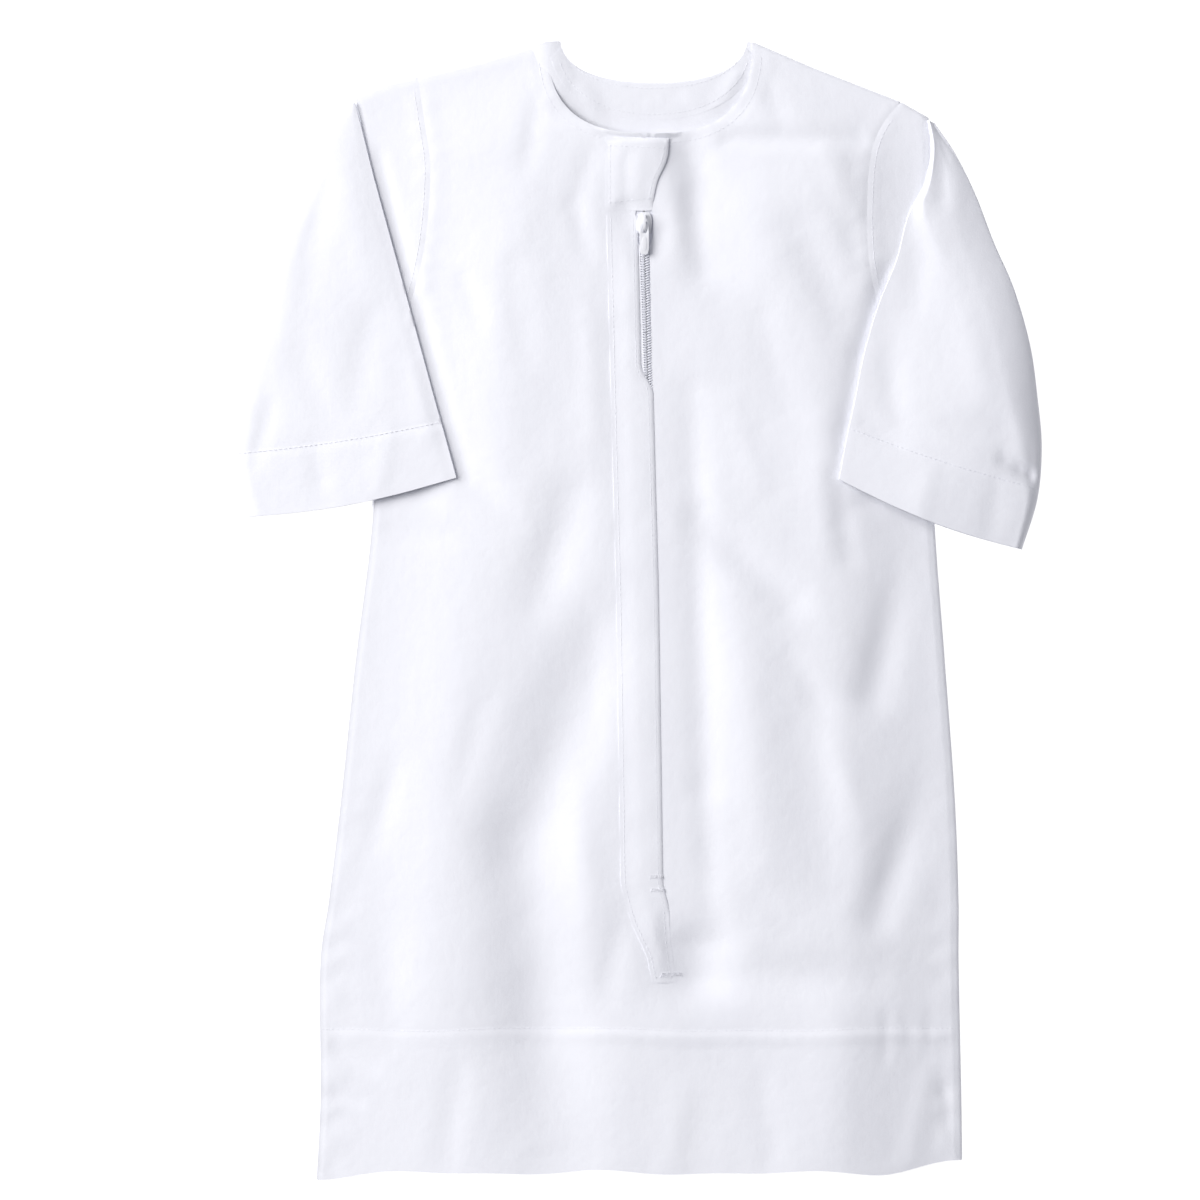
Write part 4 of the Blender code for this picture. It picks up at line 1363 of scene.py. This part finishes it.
def tape_material():
    """Zip tape: close twill with a herringbone line."""
    made, shader, tree, position = mottled_material(
        "woven_zip_tape", (0.8, 0.81, 0.87), roughness=0.8, scale=60.0,
        dark=(0.76, 0.77, 0.84), light=(0.82, 0.83, 0.89), Sheen_Weight=0.1,
    )
    ribs = threads(tree, position, "X", 0.8, 0.2)
    picks = threads(tree, position, "DIAGONAL", 0.4, 0.2)
    roughen(tree, shader, combine(tree, "MULTIPLY", ribs, picks), 0.6, 0.12)
    return made


def nylon_material():
    """The coil: satin nylon."""
    made, shader, tree, position = mottled_material(
        "coil_nylon", (0.8, 0.81, 0.86), roughness=0.38, scale=500.0,
        dark=(0.77, 0.78, 0.83), light=(0.83, 0.84, 0.89),
    )
    roughen(tree, shader, noise(tree, position, 4000.0, 2.0), 0.15, 0.03)
    return made


def enamel_material():
    """The slider and pull: white baked enamel on metal."""
    made, shader, tree, position = mottled_material(
        "white_enamel", (0.83, 0.84, 0.88), roughness=0.3, scale=250.0,
        dark=(0.8, 0.81, 0.85), light=(0.86, 0.87, 0.9), Coat_Weight=0.25, Coat_Roughness=0.2,
    )
    roughen(tree, shader, noise(tree, position, 1500.0, 1.0), 0.12, 0.04)
    return made


def add_area_light(name, azimuth, elevation, distance, size, energy, colour):
    """A square soft light that looks at the middle of the robe."""
    data = bpy.data.lights.new(name, "AREA")
    data.shape = "SQUARE"
    data.size = size
    data.energy = energy
    data.color = colour
    made = add_object(name, data)
    azimuth, elevation = radians(azimuth), radians(elevation)
    place = Vector((cos(azimuth) * cos(elevation), sin(azimuth) * cos(elevation), sin(elevation))) * distance
    made.location = place
    made.rotation_euler = (-place).to_track_quat("-Z", "Y").to_euler()


def make_stage():
    """A plain white floor, a soft light from the upper left and an even sky."""
    glow = {"Emission_Color": (1.0, 1.0, 1.0, 1.0), "Emission_Strength": 0.92}
    white, _ = new_material("floor_white", (0.3, 0.3, 0.3), 0.9, **glow)
    corners = [(FLOOR_HALF * x, FLOOR_HALF * y, FLOOR_LEVEL) for x, y in ((-1, -1), (1, -1), (1, 1), (-1, 1))]
    add_mesh("floor", corners, [(0, 1, 2, 3)], white)
    world = bpy.data.worlds.new("even_sky")
    world.use_nodes = True
    sky = world.node_tree.nodes["Background"].inputs
    sky["Color"].default_value = (0.9, 0.91, 1.0, 1.0)
    sky["Strength"].default_value = 0.31
    bpy.context.scene.world = world
    add_area_light(
        "key", azimuth=155.0, elevation=38.0, distance=4.0, size=3.2, energy=222.0, colour=(1.0, 0.99, 0.985)
    )
    bpy.context.scene.view_settings.view_transform = "Standard"


def make_camera():
    """Looks straight down; the frame is wider than the robe and its middle is left of it."""
    data = bpy.data.cameras.new("camera")
    data.sensor_width = 36.0
    data.lens = data.sensor_width * CAMERA_HEIGHT / FRAME_WIDTH
    made = add_object("camera", data)
    made.location = (*FRAME_MIDDLE, CAMERA_HEIGHT)
    bpy.context.scene.camera = made


def main():
    make_camera()
    make_stage()
    cotton = cotton_material()
    thread = thread_material()
    nylon = nylon_material()
    enamel = enamel_material()
    tape = tape_material()
    make_back(cotton)
    make_front(cotton)
    make_neck_facing(cotton)
    make_placket(cotton)
    make_neck_tab(cotton)
    cuff_lines = []
    for side in ("left", "right"):
        make_sleeve_head(side, cotton)
        cuff_lines.append(make_sleeve(side, cotton))
    make_sewing(thread, cuff_lines)
    make_chain(nylon)
    make_slider(enamel)
    make_pull(enamel)
    for side, towards in (("left", -1), ("right", 1)):
        make_zip_tape(side, towards, tape)


main()
